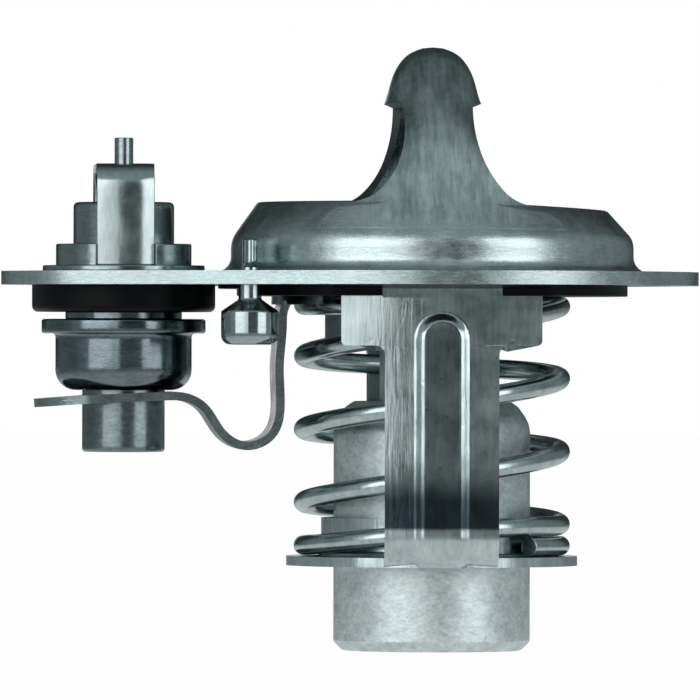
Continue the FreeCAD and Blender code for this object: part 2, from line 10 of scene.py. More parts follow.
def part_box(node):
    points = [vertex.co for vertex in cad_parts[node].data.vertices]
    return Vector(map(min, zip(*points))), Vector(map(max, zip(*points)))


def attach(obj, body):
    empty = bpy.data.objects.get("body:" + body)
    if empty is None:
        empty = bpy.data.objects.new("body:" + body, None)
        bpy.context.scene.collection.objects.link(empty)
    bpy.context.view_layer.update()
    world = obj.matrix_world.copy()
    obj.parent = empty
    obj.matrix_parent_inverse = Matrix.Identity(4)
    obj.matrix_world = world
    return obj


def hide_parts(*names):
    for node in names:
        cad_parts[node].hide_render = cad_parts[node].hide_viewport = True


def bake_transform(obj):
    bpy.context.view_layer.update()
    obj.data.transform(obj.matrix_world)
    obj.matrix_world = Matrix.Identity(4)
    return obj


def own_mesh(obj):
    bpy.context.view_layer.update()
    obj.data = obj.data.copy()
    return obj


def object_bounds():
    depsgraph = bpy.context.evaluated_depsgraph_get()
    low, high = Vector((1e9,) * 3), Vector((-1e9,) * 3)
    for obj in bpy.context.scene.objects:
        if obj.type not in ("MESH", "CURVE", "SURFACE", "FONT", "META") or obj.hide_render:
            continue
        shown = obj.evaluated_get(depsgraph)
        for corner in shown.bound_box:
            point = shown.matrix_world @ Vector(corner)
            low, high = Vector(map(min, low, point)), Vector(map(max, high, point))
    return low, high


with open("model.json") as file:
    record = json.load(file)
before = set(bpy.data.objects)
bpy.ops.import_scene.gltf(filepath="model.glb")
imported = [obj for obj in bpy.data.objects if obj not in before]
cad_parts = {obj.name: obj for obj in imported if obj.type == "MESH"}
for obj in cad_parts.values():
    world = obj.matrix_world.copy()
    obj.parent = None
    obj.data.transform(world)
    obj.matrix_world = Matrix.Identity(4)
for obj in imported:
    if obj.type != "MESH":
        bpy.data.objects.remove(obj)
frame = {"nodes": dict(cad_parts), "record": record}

CAD_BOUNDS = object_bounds()
MM = 0.001

# View. The photograph is taken from far away, level, and turned a little to the left of the front.
# The frame is 70.91 mm wide at the main axis, and its centre lies left of the axis and below the plate.
VIEW_DISTANCE = 1150.0
VIEW_TURN_DEG = -3.3
VIEW_ROLL_DEG = 0.12
FRAME_WIDTH = 70.91
FRAME_CENTRE = (-8.31, -6.55)
SENSOR_WIDTH = 36.0
NEAREST_SEEN = 0.01
FARTHEST_SEEN = 20.0

turn = math.radians(VIEW_TURN_DEG)
right_way = Vector((math.cos(turn), math.sin(turn), 0.0))
back_way = Vector((math.sin(turn), -math.cos(turn), 0.0))
camera_data = bpy.data.cameras.new("camera")
camera = bpy.data.objects.new("camera", camera_data)
bpy.context.scene.collection.objects.link(camera)
bpy.context.scene.camera = camera
centre = right_way * FRAME_CENTRE[0] + Vector((0.0, 0.0, FRAME_CENTRE[1]))
facing = back_way.to_track_quat("Z", "Y").to_matrix().to_4x4()
roll = Matrix.Rotation(math.radians(VIEW_ROLL_DEG), 4, "Z")
camera.matrix_world = Matrix.Translation((centre + back_way * VIEW_DISTANCE) * MM) @ facing @ roll
camera_data.sensor_width = SENSOR_WIDTH
camera_data.lens = SENSOR_WIDTH * VIEW_DISTANCE / FRAME_WIDTH
camera_data.clip_start = NEAREST_SEEN
camera_data.clip_end = FARTHEST_SEEN
bpy.context.scene.view_settings.view_transform = "Standard"


# Background and light. White for the camera; metal sees that white behind the part too. Round it
# stands a studio room: tall soft lamps left and right of the camera, a dim gap between them where
# the camera stands, grey side walls, and a dark ceiling towards the back.
ROOM_TINT = (0.84, 1.0, 1.02, 1.0)
ROOM_TONES = [(0.0, 0.07), (0.035, 0.10), (0.12, 0.40), (0.36, 0.40), (0.60, 0.19), (0.76, 0.06),
              (1.0, 0.035)]
SIDE_FROM = 0.12
SIDE_FULL = 0.50
SIDE_TONE = 0.24
BACKDROP_FROM = 0.985
BACKDROP_FULL = 1.0
# Each lamp: its turn from the camera in degrees, its width in metres, and its radiance.
LAMPS = [("left_lamp", -39.0, 0.75, 1.75), ("left_fill", -12.5, 0.20, 1.25),
         ("right_lamp", 49.0, 0.62, 1.75)]
LAMP_HEIGHT = 1.15
LAMP_LIFT_DEG = 8.0
WHITE = (1.0, 1.0, 1.0, 1.0)


def set_inputs(tree, node, inputs):
    """Links each input that is given a socket, and sets each that is given a value."""
    for name, value in inputs.items():
        if isinstance(value, bpy.types.NodeSocket):
            tree.links.new(value, node.inputs[name])
        else:
            node.inputs[name].default_value = value


def add_node(tree, kind, inputs=None, **settings):
    """New shader node, with its settings made first and then its inputs."""
    node = tree.nodes.new("ShaderNode" + kind)
    for name, value in settings.items():
        setattr(node, name, value)
    set_inputs(tree, node, inputs or {})
    return node


def arithmetic(tree, operation, *values):
    """One sum, product or the like of sockets and numbers."""
    return add_node(tree, "Math", dict(enumerate(values)), operation=operation).outputs["Value"]


def between(tree, value, low, high, to_low=0.0, to_high=1.0, step="LINEAR"):
    """Value carried from low..high to to_low..to_high and held at the ends."""
    inputs = {"Value": value, "From Min": low, "From Max": high, "To Min": to_low, "To Max": to_high}
    return add_node(tree, "MapRange", inputs, interpolation_type=step).outputs["Result"]


world = bpy.data.worlds.new("studio")
bpy.context.scene.world = world
world.use_nodes = True
sky = world.node_tree
sky.nodes.clear()
way = add_node(sky, "SeparateXYZ", {"Vector": add_node(sky, "TexCoord").outputs["Generated"]}).outputs
ramp = add_node(sky, "ValToRGB", {"Fac": arithmetic(sky, "MULTIPLY_ADD", way["Y"], 0.5, 0.5)})
ramp.color_ramp.interpolation = "EASE"
while len(ramp.color_ramp.elements) < len(ROOM_TONES):
    ramp.color_ramp.elements.new(0.5)
for stop, (place, tone) in zip(ramp.color_ramp.elements, ROOM_TONES):
    stop.position = place
    stop.color = (tone, tone, tone, 1.0)
sideways = arithmetic(sky, "MULTIPLY", way["X"], way["X"])
side_wall = between(sky, sideways, SIDE_FROM, SIDE_FULL, 0.0, SIDE_TONE)
room_tone = arithmetic(sky, "MAXIMUM", ramp.outputs["Color"], side_wall)
room = add_node(sky, "Background", {"Color": ROOM_TINT, "Strength": room_tone})
backdrop = add_node(sky, "Background", {"Color": WHITE})
ray = add_node(sky, "LightPath").outputs
in_gloss = arithmetic(sky, "MAXIMUM", ray["Is Glossy Ray"], ray["Is Transmission Ray"])
in_gloss = arithmetic(sky, "MULTIPLY", in_gloss, between(sky, way["Y"], BACKDROP_FROM, BACKDROP_FULL))
sky_mix = add_node(sky, "MixShader", {"Fac": arithmetic(sky, "MAXIMUM", ray["Is Camera Ray"], in_gloss),
                                      1: room.outputs["Background"], 2: backdrop.outputs["Background"]})
add_node(sky, "OutputWorld", {"Surface": sky_mix.outputs["Shader"]})

for name, turn_deg, width, radiance in LAMPS:
    side = math.radians(VIEW_TURN_DEG + turn_deg)
    lift = math.radians(LAMP_LIFT_DEG)
    out = Vector((math.sin(side) * math.cos(lift), -math.cos(side) * math.cos(lift), math.sin(lift)))
    lamp = bpy.data.lights.new(name, "AREA")
    lamp.shape = "RECTANGLE"
    lamp.size = width
    lamp.size_y = LAMP_HEIGHT
    lamp.energy = radiance * math.pi * width * LAMP_HEIGHT
    holder = bpy.data.objects.new(name, lamp)
    bpy.context.scene.collection.objects.link(holder)
    holder.location = centre * MM + out
    holder.rotation_euler = out.to_track_quat("Z", "Y").to_euler()


# Floor. A plain white table top that keeps the part's shadow. In the metal it shows bright near the
# part and fades with distance, so that upright faces don't mirror a white horizon.
FLOOR_HALF = 3.0
FLOOR_GAP = 0.05
FLOOR_NEAR = 0.06
FLOOR_FAR = 0.24
FLOOR_GLOSS_NEAR = 0.60
FLOOR_GLOSS_FAR = 0.05
FLOOR_WHITE = 0.985
FLOOR_COLOUR = (0.60, 0.60, 0.60, 1.0)


def new_material(name):
    """Material with nodes, and its tree."""
    material = bpy.data.materials.new(name)
    material.use_nodes = True
    return material, material.node_tree


floor_z = CAD_BOUNDS[0][2] - FLOOR_GAP * MM
floor_mesh = bpy.data.meshes.new("floor")
corners = [(x * FLOOR_HALF, y * FLOOR_HALF, floor_z) for x, y in ((-1, -1), (1, -1), (1, 1), (-1, 1))]
floor_mesh.from_pydata(corners, [], [(0, 1, 2, 3)])
floor = bpy.data.objects.new("floor", floor_mesh)
bpy.context.scene.collection.objects.link(floor)
floor_material, tree = new_material("floor_white")
tree.nodes.clear()
reach = add_node(tree, "VectorMath", {0: add_node(tree, "TexCoord").outputs["Object"]}, operation="LENGTH")
fade = between(tree, reach.outputs["Value"], FLOOR_NEAR, FLOOR_FAR, FLOOR_GLOSS_NEAR, FLOOR_GLOSS_FAR,
               "SMOOTHSTEP")
ray = add_node(tree, "LightPath").outputs
glow_share = arithmetic(tree, "MAXIMUM", arithmetic(tree, "MULTIPLY", ray["Is Camera Ray"], FLOOR_WHITE),
                        arithmetic(tree, "MULTIPLY", ray["Is Glossy Ray"], fade))
matte = add_node(tree, "BsdfDiffuse", {"Color": FLOOR_COLOUR})
glow = add_node(tree, "Emission")
shaders = {"Fac": glow_share, 1: matte.outputs["BSDF"], 2: glow.outputs["Emission"]}
add_node(tree, "OutputMaterial", {"Surface": add_node(tree, "MixShader", shaders).outputs["Shader"]})
floor_mesh.materials.append(floor_material)


# Flange and bridge. One pressing of plated steel sheet: a teardrop plate, a raised hat round the
# mouth, and an arch over it, whose crown holds the piston. The plate is punched for the sub valve
# and for the bleed pin.
PLATE_T = 1.37
COINED = 0.1
CLAMP_W = 2.8
SUB_X = -31.27
SUB_LOBE_R = 12.4
HAT_R = 20.4
HAT_FOOT_R = 1.5
HAT_CREASE_Z = 4.6
CREASE_ROUND_R = 3.0
INNER_CREASE_DROP = 0.5
RIM_R = 17.7
RIM_Z = 8.39
RIM_EDGE = [(0.1, -0.14), (-0.15, 0.0)]
RIM_FALL = math.tan(math.radians(2.65))
PRESS_T = 1.3
PORT_R = 6.3
PIN_AT = (-19.1, -12.9)
PIN_HOLE_R = 1.4
MERGE_WITHIN = 1e-7
CUTTER_H = 40.0
main_lobe_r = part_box("flange_and_bridge")[1].x / MM
crown_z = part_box("flange_and_bridge")[1].z / MM


def grid_faces(rows, cols, wrap_rows, wrap_cols, start=0):
    """Quads between neighbours of a rows by cols grid; a wrapped side joins its last line to its first."""
    r, c = np.mgrid[:rows if wrap_rows else rows - 1, :cols if wrap_cols else cols - 1]
    r2 = (r + 1) % rows
    c2 = (c + 1) % cols
    quads = np.stack([r * cols + c, r * cols + c2, r2 * cols + c2, r2 * cols + c], axis=-1)
    return quads.reshape(-1, 4) + start


def grid_part(points, wrap_rows=False, wrap_cols=False, caps=False):
    """Points and faces of a grid. With caps, its first and last rows are closed as flat faces."""
    rows, cols = points.shape[:2]
    faces = grid_faces(rows, cols, wrap_rows, wrap_cols).tolist()
    if caps:
        faces.append(list(range(cols)))
        faces.append(list(range((rows - 1) * cols, rows * cols)))
    return points.reshape(-1, 3), faces


def unit(vectors):
    """Vectors divided by their lengths."""
    return vectors / np.linalg.norm(vectors, axis=-1, keepdims=True)


def sheet_part(outer, thickness):
    """Closed shell: a grid, and the same grid moved back along its normals by the thickness.

    The normal at a point is the cross product of the grid's two slopes there.
    """
    inner = outer - unit(np.cross(np.gradient(outer, axis=0), np.gradient(outer, axis=1))) * thickness
    rows, cols = outer.shape[:2]
    size = rows * cols
    faces = grid_faces(rows, cols, False, False).tolist()
    faces += grid_faces(rows, cols, False, False, size)[:, ::-1].tolist()
    index = np.arange(size).reshape(rows, cols)
    rim = np.concatenate([index[0, :-1], index[:-1, -1], index[-1, :0:-1], index[:0:-1, 0]])
    after = np.roll(rim, -1)
    faces += np.stack([rim, rim + size, after + size, after], axis=-1).tolist()
    return np.concatenate([outer.reshape(-1, 3), inner.reshape(-1, 3)]), faces


def held_profile(profile, near=0.3):
    """Closed profile with a point added near both ends of each long run, so that the run shades flat."""
    start = np.array(profile, float)
    way = np.roll(start, -1, axis=0) - start
    length = np.linalg.norm(way, axis=1)
    long_run = length > 3 * near
    share = np.where(long_run, near / np.maximum(length, 1e-9), 0.0)[:, None]
    rows = np.stack([start, start + way * share, start + way * (1 - share)], axis=1)
    keep = np.stack([np.full(len(start), True), long_run, long_run], axis=1)
    return rows[keep]


def turned_part(profile, x=0.0, y=0.0, from_deg=0.0, to_deg=360.0, steps=96):
    """Closed (radius, height) profile turned about a vertical axis: (x + r cos a, y + r sin a, z)."""
    section = held_profile(profile)
    full = to_deg - from_deg >= 360.0
    angle = np.radians(np.linspace(from_deg, to_deg, steps, endpoint=not full))[:, None]
    radius = section[None, :, 0]
    height = np.broadcast_to(section[None, :, 1], (len(angle), len(section)))
    points = np.stack([x + radius * np.cos(angle), y + radius * np.sin(angle), height], axis=-1)
    return grid_part(points, wrap_rows=full, wrap_cols=True, caps=not full)


def arc(cx, cz, radius, start_deg, end_deg, steps=6):
    """Points (cx + r cos a, cz + r sin a) between two angles, both ends included."""
    angle = np.radians(np.linspace(start_deg, end_deg, steps + 1))
    return list(zip(cx + radius * np.cos(angle), cz + radius * np.sin(angle)))


def make_piece(name, parts, body, *nodes):
    """One mesh from several parts, in millimetres: doubles merged, faces outward, smooth.

    Without a body, the piece is left unattached.
    """
    faces = []
    start = 0
    for part_points, part_faces in parts:
        faces += [[i + start for i in face] for face in part_faces]
        start += len(part_points)
    mesh = bpy.data.meshes.new(name)
    mesh.from_pydata((np.concatenate([points for points, _ in parts]) * MM).tolist(), [], faces)
    work = bmesh.new()
    work.from_mesh(mesh)
    bmesh.ops.remove_doubles(work, verts=work.verts, dist=MERGE_WITHIN)
    bmesh.ops.recalc_face_normals(work, faces=work.faces)
    work.to_mesh(mesh)
    work.free()
    mesh.shade_smooth()
    piece = bpy.data.objects.new(name, mesh)
    bpy.context.scene.collection.objects.link(piece)
    if body:
        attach(piece, body)
    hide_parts(*nodes)
    return piece


def add_modifier(piece, kind, **settings):
    """New modifier with its settings."""
    modifier = piece.modifiers.new(kind.lower(), kind)
    for name, value in settings.items():
        setattr(modifier, name, value)


def round_edges(piece, width, segments=3, above_deg=28.0):
    """Small radius on every edge sharper than the angle, with the flats kept flat in shading."""
    add_modifier(piece, "BEVEL", width=width * MM, segments=segments, limit_method="ANGLE",
                 angle_limit=math.radians(above_deg), harden_normals=True, use_clamp_overlap=True)


def dress(piece, slot, *materials):
    """The piece's materials; the slot argument is not used."""
    for material in materials:
        piece.data.materials.append(material)


def spline(points, count):
    """Natural cubic through the points, evenly sampled; its second slopes solve a banded system."""
    points = np.array(points, float)
    step = np.linalg.norm(np.diff(points, axis=0), axis=1)
    at = np.concatenate([[0.0], np.cumsum(step)])
    n = len(points)
    system = np.eye(n)
    target = np.zeros_like(points)
    rise = np.diff(points, axis=0) / step[:, None]
    for i in range(1, n - 1):
        system[i, i - 1:i + 2] = step[i - 1], 2 * (step[i - 1] + step[i]), step[i]
        target[i] = 6 * (rise[i] - rise[i - 1])
    bend = np.linalg.solve(system, target)
    s = np.linspace(0, at[-1], count)
    k = np.clip(np.searchsorted(at, s) - 1, 0, n - 2)
    h = step[k][:, None]
    a = ((at[k + 1] - s)[:, None]) / h
    b = 1 - a
    curve = a * points[k] + b * points[k + 1]
    return curve + ((a ** 3 - a) * bend[k] + (b ** 3 - b) * bend[k + 1]) * h * h / 6


def ease(value, low, high):
    """Smooth step from 0 at low to 1 at high."""
    share = np.clip((value - low) / (high - low), 0.0, 1.0)
    return share * share * (3 - 2 * share)


def teardrop_radius(angle, inset):
    """Distance from the main axis to the plate's outline: big circle, tangent line or small circle."""
    big = main_lobe_r - inset
    small = SUB_LOBE_R - inset
    nx = (big - small) / SUB_X
    ny = math.sqrt(1 - nx * nx)
    c = np.cos(angle)
    s = np.abs(np.sin(angle))
    line = big / np.maximum(nx * c + ny * s, 1e-9)
    across = SUB_X * c
    inside = np.maximum(across ** 2 - SUB_X ** 2 + small ** 2, 0.0)
    circle = across + np.sqrt(inside)
    touch_big = math.atan2(ny, nx)
    touch_small = math.atan2(small * ny, SUB_X + small * nx)
    way = np.abs(np.arctan2(np.sin(angle), c))
    return np.where(way < touch_big, big, np.where(way < touch_small, line, circle))


def rim_drop(x, z):
    """How far the hat's slope lowers a point right of the axis: x times RIM_FALL, full at the rim."""
    return np.maximum(x, 0) * RIM_FALL * np.clip((z - HAT_CREASE_Z) / (RIM_Z - HAT_CREASE_Z), 0, 1)


def plate_and_hat():
    """Section of plate and hat carried round the main axis; its outer ends follow the teardrop."""
    angle = np.linspace(0, 2 * math.pi, 256, endpoint=False)
    edge = teardrop_radius(angle, 0.0)
    clamp = teardrop_radius(angle, CLAMP_W)
    wall_in = HAT_R - PRESS_T
    slope = math.degrees(math.atan2(RIM_Z - HAT_CREASE_Z, HAT_R - RIM_R))
    reach = CREASE_ROUND_R * math.tan(math.radians((90 - slope) / 2))
    fixed = arc(HAT_R + HAT_FOOT_R, PLATE_T + HAT_FOOT_R, HAT_FOOT_R, 270, 180, 8)
    fixed += arc(HAT_R - CREASE_ROUND_R, HAT_CREASE_Z - reach, CREASE_ROUND_R, 0, 90 - slope, 8)
    fixed += [(RIM_R + out, RIM_Z + up) for out, up in RIM_EDGE]
    fixed += [(RIM_R - PRESS_T, RIM_Z), (wall_in, HAT_CREASE_Z - INNER_CREASE_DROP), (wall_in, COINED)]
    columns = [(clamp, COINED), (clamp, 0.0), (edge, 0.0), (edge, PLATE_T)]
    rings = [(np.broadcast_to(r, angle.shape), np.full_like(angle, z)) for r, z in fixed + columns]
    radius, z = np.array(rings).transpose(1, 2, 0)
    x = radius * np.cos(angle)[:, None]
    y = radius * np.sin(angle)[:, None]
    return grid_part(np.stack([x, y, z - rim_drop(x, z)], axis=-1), True, True)


ARCH_ROWS = ([4.8, 6.2, 7.4, 8.3, 9.1, 10.0, 12.5, 15.0, 18.0, 20.6, 22.2, 23.4, 24.0],
             [20.27, 19.275, 18.42, 17.78, 17.21, 16.6, 15.1, 13.3, 10.3, 7.1, 4.9, 3.0, 1.3],
             [20.27, 19.275, 18.42, 17.6, 16.6, 15.2, 11.6, 8.0, 5.05, 4.22, 3.52, 2.42, 1.05])
LEG_WIDTHS = ([4.8, 7.4, 8.1, 8.6, 9.1, 9.8, 10.7, 12.0, 13.9, 15.6, 17.2, 18.37],
              [13.0, 11.0, 9.4, 7.75, 6.75, 5.95, 5.2, 4.45, 3.8, 3.52, 3.5, 3.6])
ARCH_ROUND = 2.25
ARCH_T = 1.15
EAR_Z = 18.37
DOME_Z = 22.5
CAP_H = 0.1
LEG_FLARE_Z = 9.2
ROW_GAP = 0.2
LEG_SINK_Z = 5.7
LEG_END_Z = 5.1
LEG_SINK = 0.025
RIM_FADE_Z = 11.5


def smooth_rows(table, z):
    """Values of a table at heights z, through a natural cubic over the table's rows."""
    rows = np.array(table, float).T
    line = spline(rows, 801)
    return [np.interp(z, line[:, 0], line[:, i]) for i in range(1, rows.shape[1])]


def arch_surface(z, share):
    """Point of the pressing's outer face at height z, at a share -1..1 of its half width there.

    Each level is a rounded oval |x/a|^p + |y/b|^p = 1; a and b follow the hat's slope and then the
    bridge. The share is measured on a, so x = a * share and y = -b (1 - |share|^p)^(1/p).
    """
    b, a = smooth_rows(ARCH_ROWS, z)
    power = 2 + (ARCH_ROUND - 2) * ease(z, RIM_Z, ARCH_ROWS[0][6])
    x = a * share
    y = -b * np.maximum(1 - np.abs(share) ** power, 0) ** (1 / power)
    return np.stack([x, y, z - rim_drop(x, z) * (1 - ease(z, RIM_Z, RIM_FADE_Z))], axis=-1)


def arch():
    """Crown as closed levels up to a small cap, and a leg at the front and the back.

    Along a level the crown's points start with the leg's own points, so that both meet exactly.
    The legs' lowest rows sink into the hat, so that the two run into each other without a step.
    """
    v = np.linspace(-1, 1, 41)
    ear_share = float(smooth_rows(LEG_WIDTHS, EAR_Z)[0] / smooth_rows(ARCH_ROWS, EAR_Z)[1])
    ear = np.sin(np.linspace(math.asin(ear_share), math.pi / 2, 12))[1:]
    front = np.concatenate([-ear[::-1], v * ear_share, ear])
    last = crown_z - CAP_H
    z = np.concatenate([np.linspace(EAR_Z, DOME_Z, 20), np.linspace(DOME_Z + ROW_GAP, last, 9)])[:, None]
    level = EAR_Z + (z - EAR_Z) * (ARCH_ROWS[0][-1] - EAR_Z) / (last - EAR_Z)
    near = arch_surface(level + 0 * front, front[None, :])
    near[:, :, 2] = z
    crown = np.concatenate([near, near[:, ::-1] * [1, -1, 1]], axis=1)
    points, faces = grid_part(crown, False, True)
    tip = len(points)
    points = np.concatenate([points, [[0.0, 0.0, crown_z]]])
    ring_ids = np.arange(tip - crown.shape[1], tip)
    faces += np.stack([ring_ids, np.roll(ring_ids, -1), np.full_like(ring_ids, tip)], axis=-1).tolist()
    rows = [np.linspace(EAR_Z, LEG_FLARE_Z, 40), np.linspace(LEG_FLARE_Z - ROW_GAP, LEG_END_Z, 30)]
    rows = np.concatenate(rows)[:, None]
    width = smooth_rows(LEG_WIDTHS, rows)[0]
    half = smooth_rows(ARCH_ROWS, rows)[1]
    leg = arch_surface(rows + 0 * v, v[None, :] * width / half)
    leg[0] = near[0, len(ear):len(ear) + len(v)]
    sunk = np.clip((LEG_SINK_Z - rows) / (LEG_SINK_Z - LEG_END_Z), 0, 1)[:, :, None]
    leg[:, :, :2] *= 1 - LEG_SINK * sunk ** 2
    return [(points, faces), grid_part(leg), grid_part(leg * [1, -1, 1])]


def open_sheet(name, parts, thickness, body, *nodes):
    """Piece from an open sheet: its outward side is the one whose highest face looks up."""
    piece = make_piece(name, parts, body, *nodes)
    highest = max(piece.data.polygons, key=lambda face: face.center.z)
    if highest.normal.z < 0:
        piece.data.flip_normals()
    add_modifier(piece, "SOLIDIFY", thickness=thickness * MM, offset=-1.0, use_even_offset=True,
                 material_offset_rim=1)
    return piece


def cut_hole(piece, place, radius):
    """Round upright hole through a piece, cut with a many-sided bar that is then removed."""
    bar_mesh = bpy.data.meshes.new("bar")
    work = bmesh.new()
    bmesh.ops.create_cone(work, cap_ends=True, segments=64, radius1=radius * MM, radius2=radius * MM,
                          depth=CUTTER_H * MM)
    bmesh.ops.translate(work, verts=work.verts, vec=[value * MM for value in place])
    work.to_mesh(bar_mesh)
    work.free()
    bar = bpy.data.objects.new("bar", bar_mesh)
    bpy.context.scene.collection.objects.link(bar)
    add_modifier(piece, "BOOLEAN", operation="DIFFERENCE", solver="EXACT", object=bar)
    bpy.context.view_layer.update()
    ready = piece.evaluated_get(bpy.context.evaluated_depsgraph_get())
    mesh = bpy.data.meshes.new_from_object(ready)
    piece.modifiers.clear()
    piece.data = mesh
    bpy.data.objects.remove(bar)


# Each noise of the finish: features per metre, octaves and roughness.
GRAIN = {"Streak": (2300.0, 3.0, 0.60), "Band": (800.0, 4.0, 0.65), "Stain": (340.0, 7.0, 0.68),
         "Dent": (210.0, 1.0, 0.5), "Scratch": (300.0, 0.0, 0.5)}
GRAIN_RANGE = {"Streak": (0.38, 0.62), "Band": (0.38, 0.62), "Stain": (0.40, 0.60)}
GRAIN_TONE = {"Streak": 0.32, "Band": 0.40, "Stain": 0.28}
PIT_CELLS = 520.0
PIT_EDGE = (0.03, 0.16)
SCRATCH_AT = 0.47
SCRATCH_W = 0.006


def mixed(tree, share, first, second, kind="RGBA", blend="MIX"):
    """Colour or number that goes from first to second by a share, or has second multiplied into it."""
    inputs = {"Factor": share, "A": first, "B": second}
    return add_node(tree, "Mix", inputs, data_type=kind, blend_type=blend).outputs["Result"]


def noise(tree, vector, scale, detail, roughness=0.5):
    """Value noise from 0 to 1 at this many features per metre."""
    inputs = {"Vector": vector, "Scale": scale, "Detail": detail, "Roughness": roughness}
    return add_node(tree, "TexNoise", inputs).outputs["Fac"]


def object_coords(tree):
    """Places on the piece, in metres."""
    return add_node(tree, "TexCoord").outputs["Object"]


def grain_group():
    """Shared finish of rolled and turned metal: stains, drawing streaks, dents, pits and scratches.

    Streaks are noise stretched along the drawing direction, scratches its thin level lines. The
    heights are in millimetres. Stretch Z under 1 draws the streaks upright, over 1 level, and with
    Stretch Y under 1 too they run on over a slope. The tone is a weighted sum of streaks, bands and
    stains, each of them spread over its own range first.
    """
    group = bpy.data.node_groups.new("metal_finish", "ShaderNodeTree")
    numbers = ("Stretch Y", "Stretch Z", "Rough", "Rough Spread", "Streak Height", "Dent Height",
               "Pit Height", "Scratch Height")
    sockets = [(name, "INPUT", "Float") for name in numbers]
    sockets += [("Light Color", "INPUT", "Color"), ("Dark Color", "INPUT", "Color")]
    sockets += [("Color", "OUTPUT", "Color"), ("Roughness", "OUTPUT", "Float"), ("Height", "OUTPUT", "Float")]
    for name, way, kind in sockets:
        group.interface.new_socket(name=name, in_out=way, socket_type="NodeSocket" + kind)
    given = group.nodes.new("NodeGroupInput").outputs
    plain = object_coords(group)
    stretch = add_node(group, "CombineXYZ", {"X": 1.0, "Y": given["Stretch Y"], "Z": given["Stretch Z"]})
    drawn = add_node(group, "VectorMath", {0: plain, 1: stretch.outputs["Vector"]}, operation="MULTIPLY")
    drawn = drawn.outputs["Vector"]
    grain = {kind: noise(group, plain if kind in ("Stain", "Dent") else drawn, *sizes)
             for kind, sizes in GRAIN.items()}
    spread = {kind: between(group, grain[kind], *GRAIN_RANGE[kind]) for kind in GRAIN_RANGE}
    cells = add_node(group, "TexVoronoi", {"Vector": plain, "Scale": PIT_CELLS})
    off_line = arithmetic(group, "ABSOLUTE", arithmetic(group, "SUBTRACT", grain["Scratch"], SCRATCH_AT))
    shade = arithmetic(group, "MULTIPLY", spread["Stain"], GRAIN_TONE["Stain"])
    for kind in ("Band", "Streak"):
        shade = arithmetic(group, "MULTIPLY_ADD", spread[kind], GRAIN_TONE[kind], shade)
    uneven = arithmetic(group, "MULTIPLY", spread["Stain"], 0.5)
    uneven = arithmetic(group, "MULTIPLY_ADD", grain["Streak"], 0.5, uneven)
    height = arithmetic(group, "MULTIPLY", grain["Streak"], given["Streak Height"])
    relief = {"Dent": grain["Dent"], "Pit": between(group, cells.outputs["Distance"], *PIT_EDGE),
              "Scratch": between(group, off_line, 0.0, SCRATCH_W)}
    for kind, mask in relief.items():
        height = arithmetic(group, "MULTIPLY_ADD", mask, given[kind + " Height"], height)
    set_inputs(group, group.nodes.new("NodeGroupOutput"), {
        "Color": mixed(group, shade, given["Dark Color"], given["Light Color"]),
        "Roughness": arithmetic(group, "MULTIPLY_ADD", uneven, given["Rough Spread"], given["Rough"]),
        "Height": height})
    return group


metal_finish = grain_group()


def metal(name, light, dark, rough, spread, stretch_y=1.0, stretch_z=1.0, streak=0.04, dent=0.15, pit=0.0,
          scratch=0.0):
    """Bare metal whose colour, gloss and relief come from the shared finish; heights in millimetres."""
    material, tree = new_material(name)
    finish = add_node(tree, "Group", {
        "Light Color": (*light, 1.0), "Dark Color": (*dark, 1.0), "Rough": rough, "Rough Spread": spread,
        "Stretch Y": stretch_y, "Stretch Z": stretch_z, "Streak Height": streak, "Dent Height": dent,
        "Pit Height": pit, "Scratch Height": scratch}, node_tree=metal_finish, name="finish").outputs
    relief = add_node(tree, "Bump", {"Distance": MM, "Height": finish["Height"]}, name="relief")
    set_inputs(tree, tree.nodes["Principled BSDF"], {
        "Metallic": 1.0, "Base Color": finish["Color"], "Roughness": finish["Roughness"],
        "Normal": relief.outputs["Normal"]})
    return material


plated_steel = metal("plated_steel", (0.60, 0.69, 0.69), (0.36, 0.44, 0.445), 0.18, 0.17, stretch_z=7.0,
                     streak=0.010, dent=0.06, pit=0.002, scratch=0.003)
drawn_steel = metal("drawn_steel", (0.72, 0.82, 0.82), (0.26, 0.33, 0.335), 0.17, 0.16, stretch_y=0.12,
                    stretch_z=0.12, streak=0.035, dent=0.06, scratch=0.004)
# Painted shade: the sheet's cut edges get a near-black metal that stands in for the shadow they lie in.
edge_shade_steel = metal("edge_shade_steel", (0.08, 0.10, 0.105), (0.03, 0.04, 0.043), 0.30, 0.20, stretch_z=3.0,
                      streak=0.03, dent=0.05)
FOOT_FADE_X = (6.0, 9.5)
FOOT_FADE_TOP_Z = (11.0, 8.5)
FOOT_FADE_LOW_Z = (6.8, 5.4)


def split_coords(tree):
    """X, Y and Z of a place on the piece."""
    return add_node(tree, "SeparateXYZ", {"Vector": object_coords(tree)}).outputs


def between_mm(tree, value, low, high, top=1.0):
    """Smooth step from 0 at one place to top at the other, both given in millimetres."""
    return between(tree, value, low * MM, high * MM, 0.0, top, "SMOOTHSTEP")


